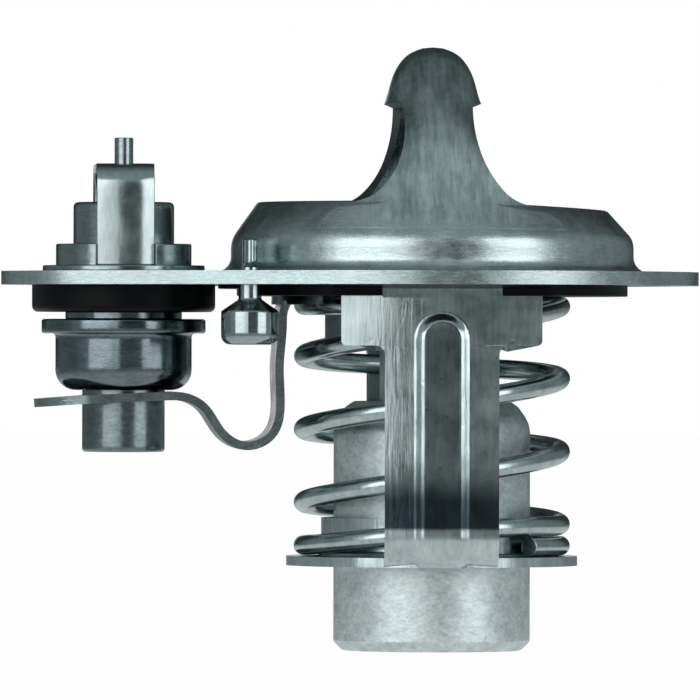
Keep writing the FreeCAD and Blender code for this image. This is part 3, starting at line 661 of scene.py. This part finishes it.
def run_into_plate(material):
    """The arch's upright finish turns into the plate's level one at the sides and the end of its feet.

    The share of the plate's finish is the larger of a side mask, |x| times height, and a low mask.
    """
    tree = material.node_tree
    drawn = tree.nodes["finish"].outputs
    level = add_node(tree, "Group", node_tree=metal_finish)
    for own, other in zip(level.inputs, plated_steel.node_tree.nodes["finish"].inputs):
        own.default_value = other.default_value
    place = split_coords(tree)
    beside = between_mm(tree, arithmetic(tree, "ABSOLUTE", place["X"]), *FOOT_FADE_X)
    beside = arithmetic(tree, "MULTIPLY", beside, between_mm(tree, place["Z"], *FOOT_FADE_TOP_Z))
    share = arithmetic(tree, "MAXIMUM", beside, between_mm(tree, place["Z"], *FOOT_FADE_LOW_Z))
    shader = tree.nodes["Principled BSDF"]
    for name, kind, node, target in (("Color", "RGBA", shader, "Base Color"),
                                     ("Roughness", "FLOAT", shader, "Roughness"),
                                     ("Height", "FLOAT", tree.nodes["relief"], "Height")):
        set_inputs(tree, node, {target: mixed(tree, share, drawn[name], level.outputs[name], kind)})


run_into_plate(drawn_steel)
flange = make_piece("flange_and_bridge_pressing", [plate_and_hat()], "frame", "flange_and_bridge")
cut_hole(flange, (SUB_X, 0.0, 0.0), PORT_R)
cut_hole(flange, (*PIN_AT, 0.0), PIN_HOLE_R)
round_edges(flange, 0.18)
dress(flange, "plated_steel", plated_steel)
bridge = open_sheet("bridge_arch", arch(), ARCH_T, "frame", "flange_and_bridge")
round_edges(bridge, 0.2, 3, 40.0)
# The arch's cut edges take the near-black metal, which is painted shade.
dress(bridge, "plated_steel", drawn_steel, edge_shade_steel)


# Seat ring. Steel washer coated in black rubber, clamped under the plate by the frame's hooks. It
# has a thin lip, flats where the frame's heads stand, and a raised seat inside the mouth.
RING_R = 19.8
RING_BOTTOM = -1.1
RING_LIP = -0.38
RING_BORE = 14.25
SEAT_BORE = 13.2
SEAT_Z = 0.5
SEAT_T = 0.85
RING_FLAT_Y = 16.05
TONGUE_IN_R = 19.3
TONGUE_R = 21.7
TONGUE_DEG = 28.0
RUBBER_DARK = (0.0012, 0.0016, 0.0022, 1.0)
RUBBER_LIGHT = (0.005, 0.0065, 0.008, 1.0)
RUBBER_ROUGH = (0.30, 0.50)
RUBBER_SPECULAR = 0.12
RUBBER_CLOUD = (260.0, 4.0)
RUBBER_SKIN = (1500.0, 2.0)
RUBBER_SKIN_H = 0.02


def rubber_material():
    """Black rubber: faint grey bloom in patches, matt, with a fine orange-peel skin."""
    material, tree = new_material("black_rubber")
    place = object_coords(tree)
    cloud = noise(tree, place, *RUBBER_CLOUD)
    skin = noise(tree, place, *RUBBER_SKIN)
    relief = add_node(tree, "Bump", {"Strength": 0.5, "Distance": RUBBER_SKIN_H * MM, "Height": skin})
    set_inputs(tree, tree.nodes["Principled BSDF"], {
        "Base Color": mixed(tree, cloud, RUBBER_DARK, RUBBER_LIGHT), "Specular IOR Level": RUBBER_SPECULAR,
        "Roughness": between(tree, cloud, 0.0, 1.0, *RUBBER_ROUGH), "Normal": relief.outputs["Normal"]})
    return material


black_rubber = rubber_material()
ring_profile = [(RING_BORE, RING_BOTTOM), (RING_R, RING_BOTTOM), (RING_R, RING_LIP), (RING_R, COINED)]
ring_profile += [(RING_BORE + SEAT_T, COINED), (RING_BORE + SEAT_T, SEAT_Z + SEAT_T)]
ring_profile += [(SEAT_BORE, SEAT_Z + SEAT_T), (SEAT_BORE, SEAT_Z), (RING_BORE, SEAT_Z)]
ring_points, ring_faces = turned_part(ring_profile)
low = ring_points[:, 2] < RING_LIP + 0.01
ring_points[low, 1] = np.clip(ring_points[low, 1], -RING_FLAT_Y, RING_FLAT_Y)
tongue_profile = [(TONGUE_IN_R, RING_LIP), (TONGUE_R, RING_LIP), (TONGUE_R, COINED), (TONGUE_IN_R, COINED)]
tongue = turned_part(tongue_profile, from_deg=180 - TONGUE_DEG, to_deg=180 + TONGUE_DEG, steps=24)
seat_ring = make_piece("seat_ring_coated", [(ring_points, ring_faces), tongue], "frame", "seat_ring")
round_edges(seat_ring, 0.12, 2)
dress(seat_ring, "black_rubber", black_rubber)


# Lower frame. One pressed strip: a base plate with a drawn collar for the wax cup, two legs with a
# raised bead, and wide heads under the seat ring whose tabs hook over it.
STRIP_T = 0.96
LEG_Y = 15.15
LEG_W = 5.72
HEAD_W = 10.05
HEAD_BOTTOM = -6.1
HEAD_CORNER = 0.5
HEAD_NECK_R = 0.9
BOW = 0.0085
BOW_AT_X = 2.0
TAB_W = 6.0
TAB_FROM_Z = -1.3
TAB_HOOK = 1.6
TAB_SINK = 0.001
BEAD_W = 2.75
BEAD_GRID_PAST = 0.5
BEAD_TOP_W = 1.85
BEAD_H = 0.42
BEAD_TOP = -2.8
FOOT_BEND_R = 2.0
FOOT_L = 2.2
BASE_R = 14.74
BASE_BOTTOM = -28.33
COLLAR_R = 11.2
COLLAR_T = 1.05
COLLAR_TOP = -23.5
COLLAR_FILLET = 0.6
COLLAR_LEAD_R = 0.9
# Painted shade on the leg: its colour is darkened above the foot and on the bead's top, standing in for the
# dark reflections there.
PAINTED_SHADE_FADE_Z = -16.5
PAINTED_SHADE_FULL_Z = -22.0
PAINTED_SHADE_END_Z = (-24.75, -24.25)
PAINTED_SHADE_TINT = (0.10, 0.115, 0.135, 1.0)
PAINTED_SHADE_Y = (14.30, 14.35)
BEAD_SHADE = 0.50
BEAD_SHADE_X = (1.85, 1.55)
BEAD_SHADE_Z = (-3.7, -4.7)


def frame_leg(side):
    """Head, leg and foot as one sheet along a line that turns under at the base plate.

    The width is a function of height. The bead is a plateau over the distance to its middle line,
    with a round end at the top and sloping walls. Beside the bead the sheet bows a little: y falls
    with the square of the distance to a line right of its middle.
    """
    bend_r = FOOT_BEND_R + STRIP_T
    bend_y = LEG_Y - FOOT_BEND_R
    bend_z = BASE_BOTTOM + bend_r
    drop = np.concatenate([
        np.linspace(RING_BOTTOM, HEAD_BOTTOM + 0.01, 50),
        np.linspace(HEAD_BOTTOM, HEAD_BOTTOM - HEAD_NECK_R, 10),
        np.linspace(HEAD_BOTTOM - HEAD_NECK_R - 0.2, bend_z, 60),
    ])
    curl = np.linspace(0, math.pi / 2, 24)[1:]
    under = np.linspace(bend_y, bend_y - FOOT_L, 6)[1:]
    y = np.concatenate([np.full_like(drop, LEG_Y + STRIP_T), bend_y + bend_r * np.cos(curl), under])
    z = np.concatenate([drop, bend_z - bend_r * np.sin(curl), np.full_like(under, BASE_BOTTOM)])[:, None]
    ny = np.concatenate([np.ones_like(drop), np.cos(curl), np.zeros_like(under)])[:, None]
    nz = np.concatenate([np.zeros_like(drop), -np.sin(curl), -np.ones_like(under)])[:, None]
    into = np.clip((HEAD_BOTTOM + HEAD_CORNER - z) / HEAD_CORNER, 0, 1)
    head = HEAD_W - HEAD_CORNER * (1 - np.sqrt(1 - into ** 2))
    neck = np.clip((z - (HEAD_BOTTOM - HEAD_NECK_R)) / HEAD_NECK_R, 0, 1)
    leg = LEG_W + HEAD_NECK_R * (1 - np.sqrt(1 - neck ** 2))
    width = np.where(z > HEAD_BOTTOM, head, leg)
    inner = np.linspace(0, BEAD_W + BEAD_GRID_PAST, 33)
    outer = inner[-1] + (width - inner[-1]) * np.linspace(0, 1, 9)[1:]
    half = np.concatenate([inner + 0 * width, outer], axis=1)
    x = np.concatenate([-half[:, :0:-1], half], axis=1)
    round_z = BEAD_TOP - BEAD_W
    away = np.where(z > round_z, np.hypot(x, z - round_z), np.abs(x))
    slope = np.clip((BEAD_W - away) / (BEAD_W - BEAD_TOP_W), 0, 1)
    bump = BEAD_H * (0.5 * slope + 0.5 * slope * slope * (3 - 2 * slope))
    sag = BOW * (x - BOW_AT_X) ** 2 * (1 - slope)
    points = np.stack([x, side * (y[:, None] + (bump - sag) * ny), z + bump * nz], axis=-1)
    return sheet_part(points, -side * STRIP_T)


def frame_tab(side):
    """Tab from the head up through the ring, hooked outwards over it."""
    outer = LEG_Y + STRIP_T - TAB_SINK
    reach = LEG_Y + STRIP_T + TAB_HOOK
    top = COINED + STRIP_T
    loop = np.array([(LEG_Y, TAB_FROM_Z), (outer, TAB_FROM_Z), (outer, COINED), (reach, COINED),
                     (reach, top), (LEG_Y, top)])
    x = np.array([-TAB_W, TAB_W])[:, None] + 0 * loop[None, :, 0]
    return grid_part(np.stack([x, side * loop[:, 0] + 0 * x, loop[:, 1] + 0 * x], axis=-1), False, True, True)


def paint_leg_shade(material):
    """Painted shade: darkens the leg's colour where it shows dark reflections, with the larger of two masks,
    and leaves the base plate out.

    Above the foot the mask is full and fades upwards. On the bead's flat top it is BEAD_SHADE, fading
    over a millimetre at its upper end. Both end sharply where the bend starts.
    """
    tree = material.node_tree
    place = split_coords(tree)
    height = place["Z"]
    on_leg = between_mm(tree, arithmetic(tree, "ABSOLUTE", place["Y"]), *PAINTED_SHADE_Y)
    across = between_mm(tree, arithmetic(tree, "ABSOLUTE", place["X"]), *BEAD_SHADE_X, BEAD_SHADE)
    bead = arithmetic(tree, "MULTIPLY", across, between_mm(tree, height, *BEAD_SHADE_Z))
    mask = arithmetic(tree, "MAXIMUM", between_mm(tree, height, PAINTED_SHADE_FADE_Z, PAINTED_SHADE_FULL_Z), bead)
    mask = arithmetic(tree, "MULTIPLY", mask, between_mm(tree, height, *PAINTED_SHADE_END_Z))
    mask = arithmetic(tree, "MULTIPLY", mask, on_leg)
    # Painted shade: the finish colour multiplied by a dark tint under the mask.
    shaded_colour = mixed(tree, mask, tree.nodes["finish"].outputs["Color"], PAINTED_SHADE_TINT, blend="MULTIPLY")
    set_inputs(tree, tree.nodes["Principled BSDF"], {"Base Color": shaded_colour})


collar_in = COLLAR_R - COLLAR_T
base_profile = [(collar_in, BASE_BOTTOM + COLLAR_LEAD_R), (collar_in, COLLAR_TOP), (COLLAR_R, COLLAR_TOP)]
base_profile += arc(COLLAR_R + COLLAR_FILLET, BASE_BOTTOM + STRIP_T + COLLAR_FILLET, COLLAR_FILLET, 180, 270)
base_profile += [(BASE_R, BASE_BOTTOM + STRIP_T), (BASE_R, BASE_BOTTOM)]
base_profile += arc(collar_in + COLLAR_LEAD_R, BASE_BOTTOM + COLLAR_LEAD_R, COLLAR_LEAD_R, 270, 180)[:-1]
frame_parts = [turned_part(base_profile), frame_leg(-1), frame_leg(1), frame_tab(-1), frame_tab(1)]
lower_frame = make_piece("lower_frame_strip", frame_parts, "frame", "lower_frame")
round_edges(lower_frame, 0.15)
frame_steel = metal("frame_steel", (0.62, 0.71, 0.71), (0.40, 0.48, 0.485), 0.12, 0.13, stretch_z=0.10,
                    streak=0.02, dent=0.08, pit=0.004, scratch=0.002)
# Painted shade: darker leg above the foot and on the bead.
paint_leg_shade(frame_steel)
dress(lower_frame, "plated_steel", frame_steel)


# Main spring. Round spring wire, five turns, both ends closed; it stands on the base plate and
# pushes the valve disc up. It is shortened as the valve opens.
WIRE_R = 1.0
COIL_R = 13.0
COIL_CLEAR = 0.05
COIL_PITCH = 7.4
COIL_TILT = 0.75
COIL_START_DEG = -45.0
COIL_END_DEG = 1715.0
COIL_LAP_DEG = (180.0, 315.0)
COIL_REF_DEG = 360.0
COIL_REF_Z = -24.83
COIL_SMOOTHING = 9
DISC_BOTTOM = -0.95
spring_foot = BASE_BOTTOM + STRIP_T


def coil_height(degrees):
    """Height of the wire's centre: closed end, tilted open turns, closed end; then a running mean."""
    first = spring_foot + WIRE_R + COIL_CLEAR
    last = DISC_BOTTOM - WIRE_R - COIL_CLEAR
    lapped = first + (2 * WIRE_R + COIL_CLEAR) * ease(degrees, *COIL_LAP_DEG)
    opened = COIL_REF_Z + COIL_PITCH * (degrees - COIL_REF_DEG) / 360
    opened = opened + COIL_TILT * np.cos(np.radians(degrees))
    height = np.minimum(np.maximum(lapped, opened), last)
    window = np.ones(COIL_SMOOTHING) / COIL_SMOOTHING
    return np.convolve(np.pad(height, COIL_SMOOTHING // 2, mode="edge"), window, mode="valid")


def wire_part(line, radius, around=20):
    """Round wire along a line: circles square to its slope, closed at both ends by flat faces."""
    slope = unit(np.gradient(line, axis=0))
    side = unit(np.cross(slope, unit(line * [1, 1, 0])))
    out = np.cross(side, slope)
    a = np.linspace(0, 2 * math.pi, around, endpoint=False)[None, :, None]
    points = line[:, None, :] + radius * (np.cos(a) * out[:, None, :] + np.sin(a) * side[:, None, :])
    return grid_part(points, False, True, True)


coil_deg = np.linspace(COIL_START_DEG, COIL_END_DEG, 441)
coil_angle = np.radians(coil_deg)
coil_line = [COIL_R * np.cos(coil_angle), COIL_R * np.sin(coil_angle), coil_height(coil_deg)]
spring_steel = metal("spring_steel", (0.54, 0.63, 0.63), (0.36, 0.44, 0.445), 0.15, 0.14, streak=0.004,
                     dent=0.02, scratch=0.003)
coil = wire_part(np.stack(coil_line, axis=-1), WIRE_R)
main_spring = make_piece("main_coil_spring", [coil], "frame", "main_spring")
round_edges(main_spring, 0.12, 2, 50.0)
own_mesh(main_spring)
dress(main_spring, "spring_steel", spring_steel)


# Main wax element. Deep-drawn cup, its rim rolled over the guide's flange. The guide's neck runs up
# through the valve disc, and the piston slides in it.
CUP_R = 9.95
CUP_T = 0.8
CUP_FLOOR_T = 1.0
CUP_CHAMFER = 0.9
CUP_SHOULDER = -14.9
CUP_ROLL = [(0.13, -14.05), (0.55, -13.2), (1.2, -12.3)]
CUP_TOP = -11.7
CUP_TOP_R = 7.9
NECK_R = 4.5
NECK_FOOT_R = 5.3
NECK_STEP_Z = -1.95
NECK_TOP = 3.0
NECK_CHAMFER = 0.4
PISTON_R = 1.95
PISTON_CLEAR = 0.05
PISTON_TIP_R = 0.7
PISTON_TIP_L = 1.7
cup_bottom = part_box("main_wax_cup")[0].z / MM
piston_low, piston_top = (corner.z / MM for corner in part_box("main_piston"))


def turned_piece(name, profile, body, node, slot, material, edge, x=0.0, steps=96):
    """Piece turned from one profile, with its sharp edges rounded by the width given."""
    piece = make_piece(name, [turned_part(profile, x, steps=steps)], body, node)
    if edge:
        round_edges(piece, edge)
    dress(piece, slot, material)


cup_profile = [(0.0, cup_bottom), (CUP_R - CUP_CHAMFER, cup_bottom), (CUP_R, cup_bottom + CUP_CHAMFER)]
cup_profile += [(CUP_R, CUP_SHOULDER)] + [(CUP_R - inward, z) for inward, z in CUP_ROLL]
cup_profile += [(CUP_TOP_R, CUP_TOP), (NECK_FOOT_R, CUP_TOP), (NECK_FOOT_R, CUP_TOP - CUP_T)]
cup_profile += [(CUP_TOP_R - CUP_T, CUP_TOP - CUP_T), (CUP_R - CUP_T, CUP_SHOULDER)]
cup_profile += [(CUP_R - CUP_T, cup_bottom + CUP_FLOOR_T), (0.0, cup_bottom + CUP_FLOOR_T)]
cup_metal = metal("cup_metal", (0.76, 0.85, 0.85), (0.46, 0.53, 0.535), 0.33, 0.20, stretch_z=1.4,
                  streak=0.03, dent=0.10, pit=0.014, scratch=0.004)
turned_piece("main_cup_drawn", cup_profile, "main_valve", "main_wax_cup", "cup_metal", cup_metal, 0.2)

bore = PISTON_R + PISTON_CLEAR
neck_profile = [(bore, CUP_TOP), (NECK_FOOT_R, CUP_TOP - 0.05), (NECK_FOOT_R, NECK_STEP_Z)]
neck_profile += [(NECK_R, NECK_STEP_Z), (NECK_R, NECK_TOP - NECK_CHAMFER), (NECK_R - NECK_CHAMFER, NECK_TOP)]
neck_profile += [(bore, NECK_TOP)]
turned_piece("main_guide_turned", neck_profile, "main_valve", "main_guide", "cup_metal", cup_metal, 0.12)

piston_profile = [(0.0, piston_low), (PISTON_R, piston_low), (PISTON_R, piston_top - PISTON_TIP_L)]
piston_profile += [(PISTON_TIP_R, piston_top), (0.0, piston_top)]
turned_piece("main_piston_ground", piston_profile, "frame", "main_piston", "spring_steel", spring_steel, 0.12,
             steps=48)


# Leaf spring. Bent strip of spring steel: anchored as a crescent under the seat ring, down beside
# the coil spring, round a loop, and under the sub valve, which it holds shut.
LEAF_T = 0.86
LEAF_W = 11.5
LEAF_PATH = [(-40.3, -11.97), (-35.5, -11.62), (-31.3, -11.4), (-27.5, -11.25), (-25.2, -11.35),
             (-23.4, -12.3), (-21.5, -14.95), (-19.1, -16.23), (-16.5, -15.1), (-15.65, -11.6),
             (-15.75, -8.0), (-15.45, -4.0), (-15.35, -2.6), (-15.0, -1.75)]
LEAF_HOLE_Z = -11.4
LEAF_HOLE_CLEAR = 0.45
ANCHOR_IN_R = 14.4
ANCHOR_OUT_R = 16.3
ANCHOR_DEG = 44.0
SUB_CUP_R = 4.18


def leaf_strip():
    """Strip along the bent line; at the free end its half width is a half circle."""
    line = spline(LEAF_PATH, 181)
    half = LEAF_W / 2
    from_end = np.clip(line[:, 0] - line[0, 0], 0, half)
    width = np.sqrt(np.maximum(half ** 2 - (half - from_end) ** 2, 0.02))
    v = np.linspace(-1, 1, 33)[None, :]
    slope = unit(np.gradient(line, axis=0))
    x = (line[:, 0] - slope[:, 1] * LEAF_T / 2)[:, None] + 0 * v
    z = (line[:, 1] + slope[:, 0] * LEAF_T / 2)[:, None] + 0 * v
    return sheet_part(np.stack([x, width[:, None] * v, z], axis=-1), LEAF_T)


anchor_profile = [(ANCHOR_IN_R, RING_BOTTOM - LEAF_T), (ANCHOR_OUT_R, RING_BOTTOM - LEAF_T)]
anchor_profile += [(ANCHOR_OUT_R, RING_BOTTOM), (ANCHOR_IN_R, RING_BOTTOM)]
crescent = turned_part(anchor_profile, from_deg=180 - ANCHOR_DEG, to_deg=180 + ANCHOR_DEG, steps=40)
leaf = make_piece("leaf_spring_strip", [leaf_strip(), crescent], None, "leaf_spring")
cut_hole(leaf, (SUB_X, 0.0, LEAF_HOLE_Z), SUB_CUP_R + LEAF_HOLE_CLEAR)
round_edges(leaf, 0.15)
leaf_steel = metal("leaf_steel", (0.36, 0.43, 0.435), (0.24, 0.29, 0.295), 0.14, 0.14, streak=0.008,
                   dent=0.06, scratch=0.004)
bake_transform(leaf)
dress(leaf, "spring_steel", leaf_steel)


# Sub valve, fixed parts. A stepped collar is pressed into the plate's port, and a strap over it
# holds the pin that the sub element pushes against.
STRAP_W = 5.9
STRAP_T = 1.0
STRAP_Y = 6.2
STRAP_TOP = 12.22
STRAP_BEND_R = 2.5
STRAP_BOW_LEFT = 0.04
STRAP_BOW_RIGHT = 0.10
STRAP_BOW_AT = 0.45
STRAP_NOTCH_CLEAR = 0.02
SUB_PIN_R = 0.95
COLLAR_RIM_Z = 1.96
COLLAR_OVERLAP = 0.1
SUB_COLLAR_TOP = 4.13
SUB_COLLAR_R = 6.86
SUB_COLLAR_BORE = 5.6
SUB_RIM_R = 8.2


def strap():
    """Strap bent over the sub valve: legs, two bends and the top as one sheet.

    It is bowed across its width: y shrinks with the square of the distance to a line near the middle.
    """
    bend_z = STRAP_TOP - STRAP_BEND_R
    rise = [(-STRAP_Y, z) for z in np.linspace(COLLAR_RIM_Z, bend_z, 8)[:-1]]
    half = rise + arc(STRAP_BEND_R - STRAP_Y, bend_z, STRAP_BEND_R, 180, 90, 10)
    line = np.array(half + [(-y, z) for y, z in half[::-1]])
    across = np.linspace(-1, 1, 25)[None, :] * STRAP_W / 2
    bow = np.where(across < STRAP_BOW_AT, STRAP_BOW_LEFT, STRAP_BOW_RIGHT) * (across - STRAP_BOW_AT) ** 2
    y = line[:, :1] * (1 - bow / STRAP_Y)
    return sheet_part(np.stack([SUB_X + across + 0 * y, y, line[:, 1:] + 0 * across], axis=-1), -STRAP_T)


sub_strap = make_piece("sub_bridge_strap", [strap()], "frame", "sub_bridge")
round_edges(sub_strap, 0.14)
strap_steel = metal("strap_steel", (0.47, 0.54, 0.54), (0.34, 0.40, 0.405), 0.14, 0.12, stretch_z=0.3,
                    streak=0.008, dent=0.07, scratch=0.004)
dress(sub_strap, "plated_steel", strap_steel)

washer_profile = [(SUB_COLLAR_BORE, COINED), (PORT_R, COINED), (PORT_R, PLATE_T), (SUB_RIM_R, PLATE_T)]
washer_profile += [(SUB_RIM_R, COLLAR_RIM_Z), (SUB_COLLAR_BORE, COLLAR_RIM_Z)]
collar_foot = COLLAR_RIM_Z - COLLAR_OVERLAP
collar_profile = [(SUB_COLLAR_BORE, collar_foot), (SUB_COLLAR_R, collar_foot)]
collar_profile += [(SUB_COLLAR_R, SUB_COLLAR_TOP), (SUB_COLLAR_BORE, SUB_COLLAR_TOP)]


def collar_side(middle):
    """Half of the notched collar: at each radius r the turn stops at asin(half strap / r) from Y."""
    radius, height = np.array(collar_profile, float).T
    stop = 90 - np.degrees(np.arcsin((STRAP_W / 2 + STRAP_NOTCH_CLEAR) / radius))
    angle = np.radians(middle + np.linspace(-1, 1, 41)[:, None] * stop)
    points = [SUB_X + radius * np.cos(angle), radius * np.sin(angle), height + 0 * angle]
    return grid_part(np.stack(points, axis=-1), wrap_cols=True, caps=True)


collar_parts = [turned_part(washer_profile, SUB_X), collar_side(0), collar_side(180)]
sub_collar = make_piece("sub_collar_turned", collar_parts, "frame", "sub_seat_collar")
round_edges(sub_collar, 0.15)
turned_steel = metal("turned_steel", (0.38, 0.45, 0.455), (0.22, 0.27, 0.28), 0.12, 0.14, stretch_z=5.0,
                     streak=0.004, dent=0.04, pit=0.003)
dress(sub_collar, "plated_steel", turned_steel)

pin_low, pin_top = (corner.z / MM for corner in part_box("sub_piston"))
sub_pin_profile = [(0.0, pin_low), (SUB_PIN_R, pin_low), (SUB_PIN_R, pin_top), (0.0, pin_top)]
turned_piece("sub_piston_ground", sub_pin_profile, "frame", "sub_piston", "spring_steel", turned_steel, 0.12,
             SUB_X, 40)


# Sub valve, moving parts. Turned guide, thick rubber disc, dark bell-shaped cup and the small wax
# cup that passes through the leaf spring.
SUB_GUIDE_R = 5.1
SUB_GUIDE_ROUND = 0.5
RUBBER_R = 9.27
RUBBER_ROUND = 0.6
RUBBER_BOTTOM = -2.75
RUBBER_TOP = 0.08
SUB_NECK_R = 5.9
SUB_NECK_BOTTOM = -3.46
BELL_RIM_R = 8.3
BELL_RIM_T = 1.45
BELL_EDGE = 0.25
BELL_FILLET = 0.35
BELL_R = 6.9
BELL_BORE = 5.3
BELL_T = 0.9
BELL_CORNER_R = 2.1
SUB_CUP_ROUND = 0.35
SUB_CUP_LAP = 1.5
guide_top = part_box("sub_guide")[1].z / MM
bell_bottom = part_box("sub_bell")[0].z / MM
sub_cup_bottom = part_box("sub_wax_cup")[0].z / MM
bore = SUB_PIN_R + PISTON_CLEAR
dark_metal = metal("dark_metal", (0.22, 0.27, 0.29), (0.12, 0.15, 0.16), 0.10, 0.12, stretch_z=2.5,
                   streak=0.005, dent=0.05, pit=0.006)
small_cup_steel = metal("small_cup_steel", (0.26, 0.31, 0.32), (0.14, 0.17, 0.18), 0.15, 0.14, stretch_z=1.5,
                        streak=0.006, dent=0.06, pit=0.006)

guide_profile = [(bore, RUBBER_BOTTOM), (SUB_GUIDE_R, RUBBER_BOTTOM)]
guide_profile += arc(SUB_GUIDE_R - SUB_GUIDE_ROUND, guide_top - SUB_GUIDE_ROUND, SUB_GUIDE_ROUND, 0, 90)
guide_profile += [(bore, guide_top)]
flange_profile = [(bore, SUB_NECK_BOTTOM), (SUB_NECK_R, SUB_NECK_BOTTOM)]
flange_profile += [(SUB_NECK_R, RUBBER_BOTTOM), (bore, RUBBER_BOTTOM)]
rubber_profile = [(SUB_GUIDE_R, RUBBER_BOTTOM)]
rubber_profile += arc(RUBBER_R - RUBBER_ROUND, RUBBER_BOTTOM + RUBBER_ROUND, RUBBER_ROUND, 270, 360)
rubber_profile += [(RUBBER_R, RUBBER_TOP), (SUB_GUIDE_R, RUBBER_TOP)]
rim_low = SUB_NECK_BOTTOM - BELL_RIM_T
bell_profile = [(SUB_CUP_R, bell_bottom)]
bell_profile += arc(BELL_R - BELL_CORNER_R, bell_bottom + BELL_CORNER_R, BELL_CORNER_R, 270, 360, 10)
bell_profile += arc(BELL_R + BELL_FILLET, rim_low - BELL_FILLET, BELL_FILLET, 180, 90, 4)
bell_profile += arc(BELL_RIM_R - BELL_EDGE, rim_low + BELL_EDGE, BELL_EDGE, 270, 360, 4)
bell_profile += arc(BELL_RIM_R - BELL_EDGE, SUB_NECK_BOTTOM - BELL_EDGE, BELL_EDGE, 0, 90, 4)
bell_profile += [(BELL_BORE, SUB_NECK_BOTTOM), (BELL_BORE, bell_bottom + BELL_T)]
bell_profile += [(SUB_CUP_R, bell_bottom + BELL_T)]
small_cup_profile = [(0.0, sub_cup_bottom)]
small_cup_profile += arc(SUB_CUP_R - SUB_CUP_ROUND, sub_cup_bottom + SUB_CUP_ROUND, SUB_CUP_ROUND, 270, 360)
small_cup_profile += [(SUB_CUP_R, bell_bottom + SUB_CUP_LAP), (0.0, bell_bottom + SUB_CUP_LAP)]
for name, profile, node, slot, material, edge in (
        ("sub_guide_turned", guide_profile, "sub_guide", "cup_metal", turned_steel, 0.12),
        ("sub_guide_flange", flange_profile, "sub_guide", "cup_metal", dark_metal, 0.08),
        ("sub_rubber_disc", rubber_profile, "sub_valve_rubber", "black_rubber", black_rubber, 0.15),
        ("sub_bell_drawn", bell_profile, "sub_bell", "dark_metal", dark_metal, 0.12),
        ("sub_cup_drawn", small_cup_profile, "sub_wax_cup", "cup_metal", small_cup_steel, 0.0)):
    turned_piece(name, profile, "sub_valve", node, slot, material, edge, SUB_X)


# Bleed pin. Loose turned pin in the plate: bulb below, shank through the hole, and the shank's top
# pinched flat so that it can't fall out.
PIN_SHANK_R = 0.87
PIN_SHANK_Z = 0.4
PIN_SHANK_TOP = 1.9
PIN_NECK_R = 1.15
PIN_NECK_Z = -1.5
PIN_BULB_R = 2.9
PIN_BULB_Z = -2.7
PIN_FOOT_EDGE = 0.95
BLADE_FROM = 0.3
BLADE_SPREAD = 0.8
BLADE_THIN = 0.12
PINCH_L = 0.5
pin_low, pin_top = (corner.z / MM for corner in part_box("jiggle_pin"))
pin_profile = [(0.0, pin_low)]
pin_profile += arc(PIN_BULB_R - PIN_FOOT_EDGE, pin_low + PIN_FOOT_EDGE, PIN_FOOT_EDGE, 270, 360)
pin_profile += [(PIN_BULB_R, PIN_BULB_Z), (PIN_NECK_R, PIN_NECK_Z), (PIN_NECK_R, COINED)]
pin_profile += [(PIN_SHANK_R, PIN_SHANK_Z), (PIN_SHANK_R, PIN_SHANK_TOP), (0.0, PIN_SHANK_TOP)]


def pinched_blade():
    """Round rod whose levels turn into ovals: x shrinks and y grows by a share that eases in upwards."""
    z = np.linspace(PLATE_T + BLADE_FROM, pin_top, 12)[:, None]
    angle = np.linspace(0, 2 * math.pi, 28, endpoint=False)[None, :]
    pinch = ease(z, z[0], z[0] + PINCH_L)
    x = PIN_AT[0] + PIN_SHANK_R * np.cos(angle) * (1 - BLADE_THIN * pinch)
    y = PIN_AT[1] + (PIN_SHANK_R + BLADE_SPREAD * pinch) * np.sin(angle)
    return grid_part(np.stack([x, y, z + 0 * x], axis=-1), False, True, True)


pin_parts = [turned_part(pin_profile, *PIN_AT, steps=48), pinched_blade()]
bleed_pin = make_piece("bleed_pin_turned", pin_parts, "bleed_pin", "jiggle_pin")
round_edges(bleed_pin, 0.15)
pin_steel = metal("pin_steel", (0.44, 0.51, 0.515), (0.30, 0.36, 0.365), 0.07, 0.08, stretch_z=4.0,
                  streak=0.003, dent=0.02)
dress(bleed_pin, "plated_steel", pin_steel)


# Hidden and half-hidden parts keep their solids: valve disc, washer, clip, rubber and wax. The metal
# ones are pressed from sheet, the rubber is moulded, and the wax is cast into its cups.
WAX_DULL = (0.62, 0.56, 0.42, 1.0)
WAX_PALE = (0.78, 0.73, 0.58, 1.0)
WAX_CLOUD = (300.0, 2.0)
wax, tree = new_material("wax")
wax_tone = mixed(tree, noise(tree, object_coords(tree), *WAX_CLOUD), WAX_DULL, WAX_PALE)
set_inputs(tree, tree.nodes["Principled BSDF"], {"Base Color": wax_tone})
by_slot = {"plated_steel": plated_steel, "spring_steel": spring_steel, "cup_metal": cup_metal,
           "dark_metal": dark_metal, "black_rubber": black_rubber, "wax": wax}
for entry in frame["record"]["subparts"]:
    node = frame["nodes"][entry["node"]]
    node.data.materials.clear()
    node.data.materials.append(by_slot[entry["material_slot"]])
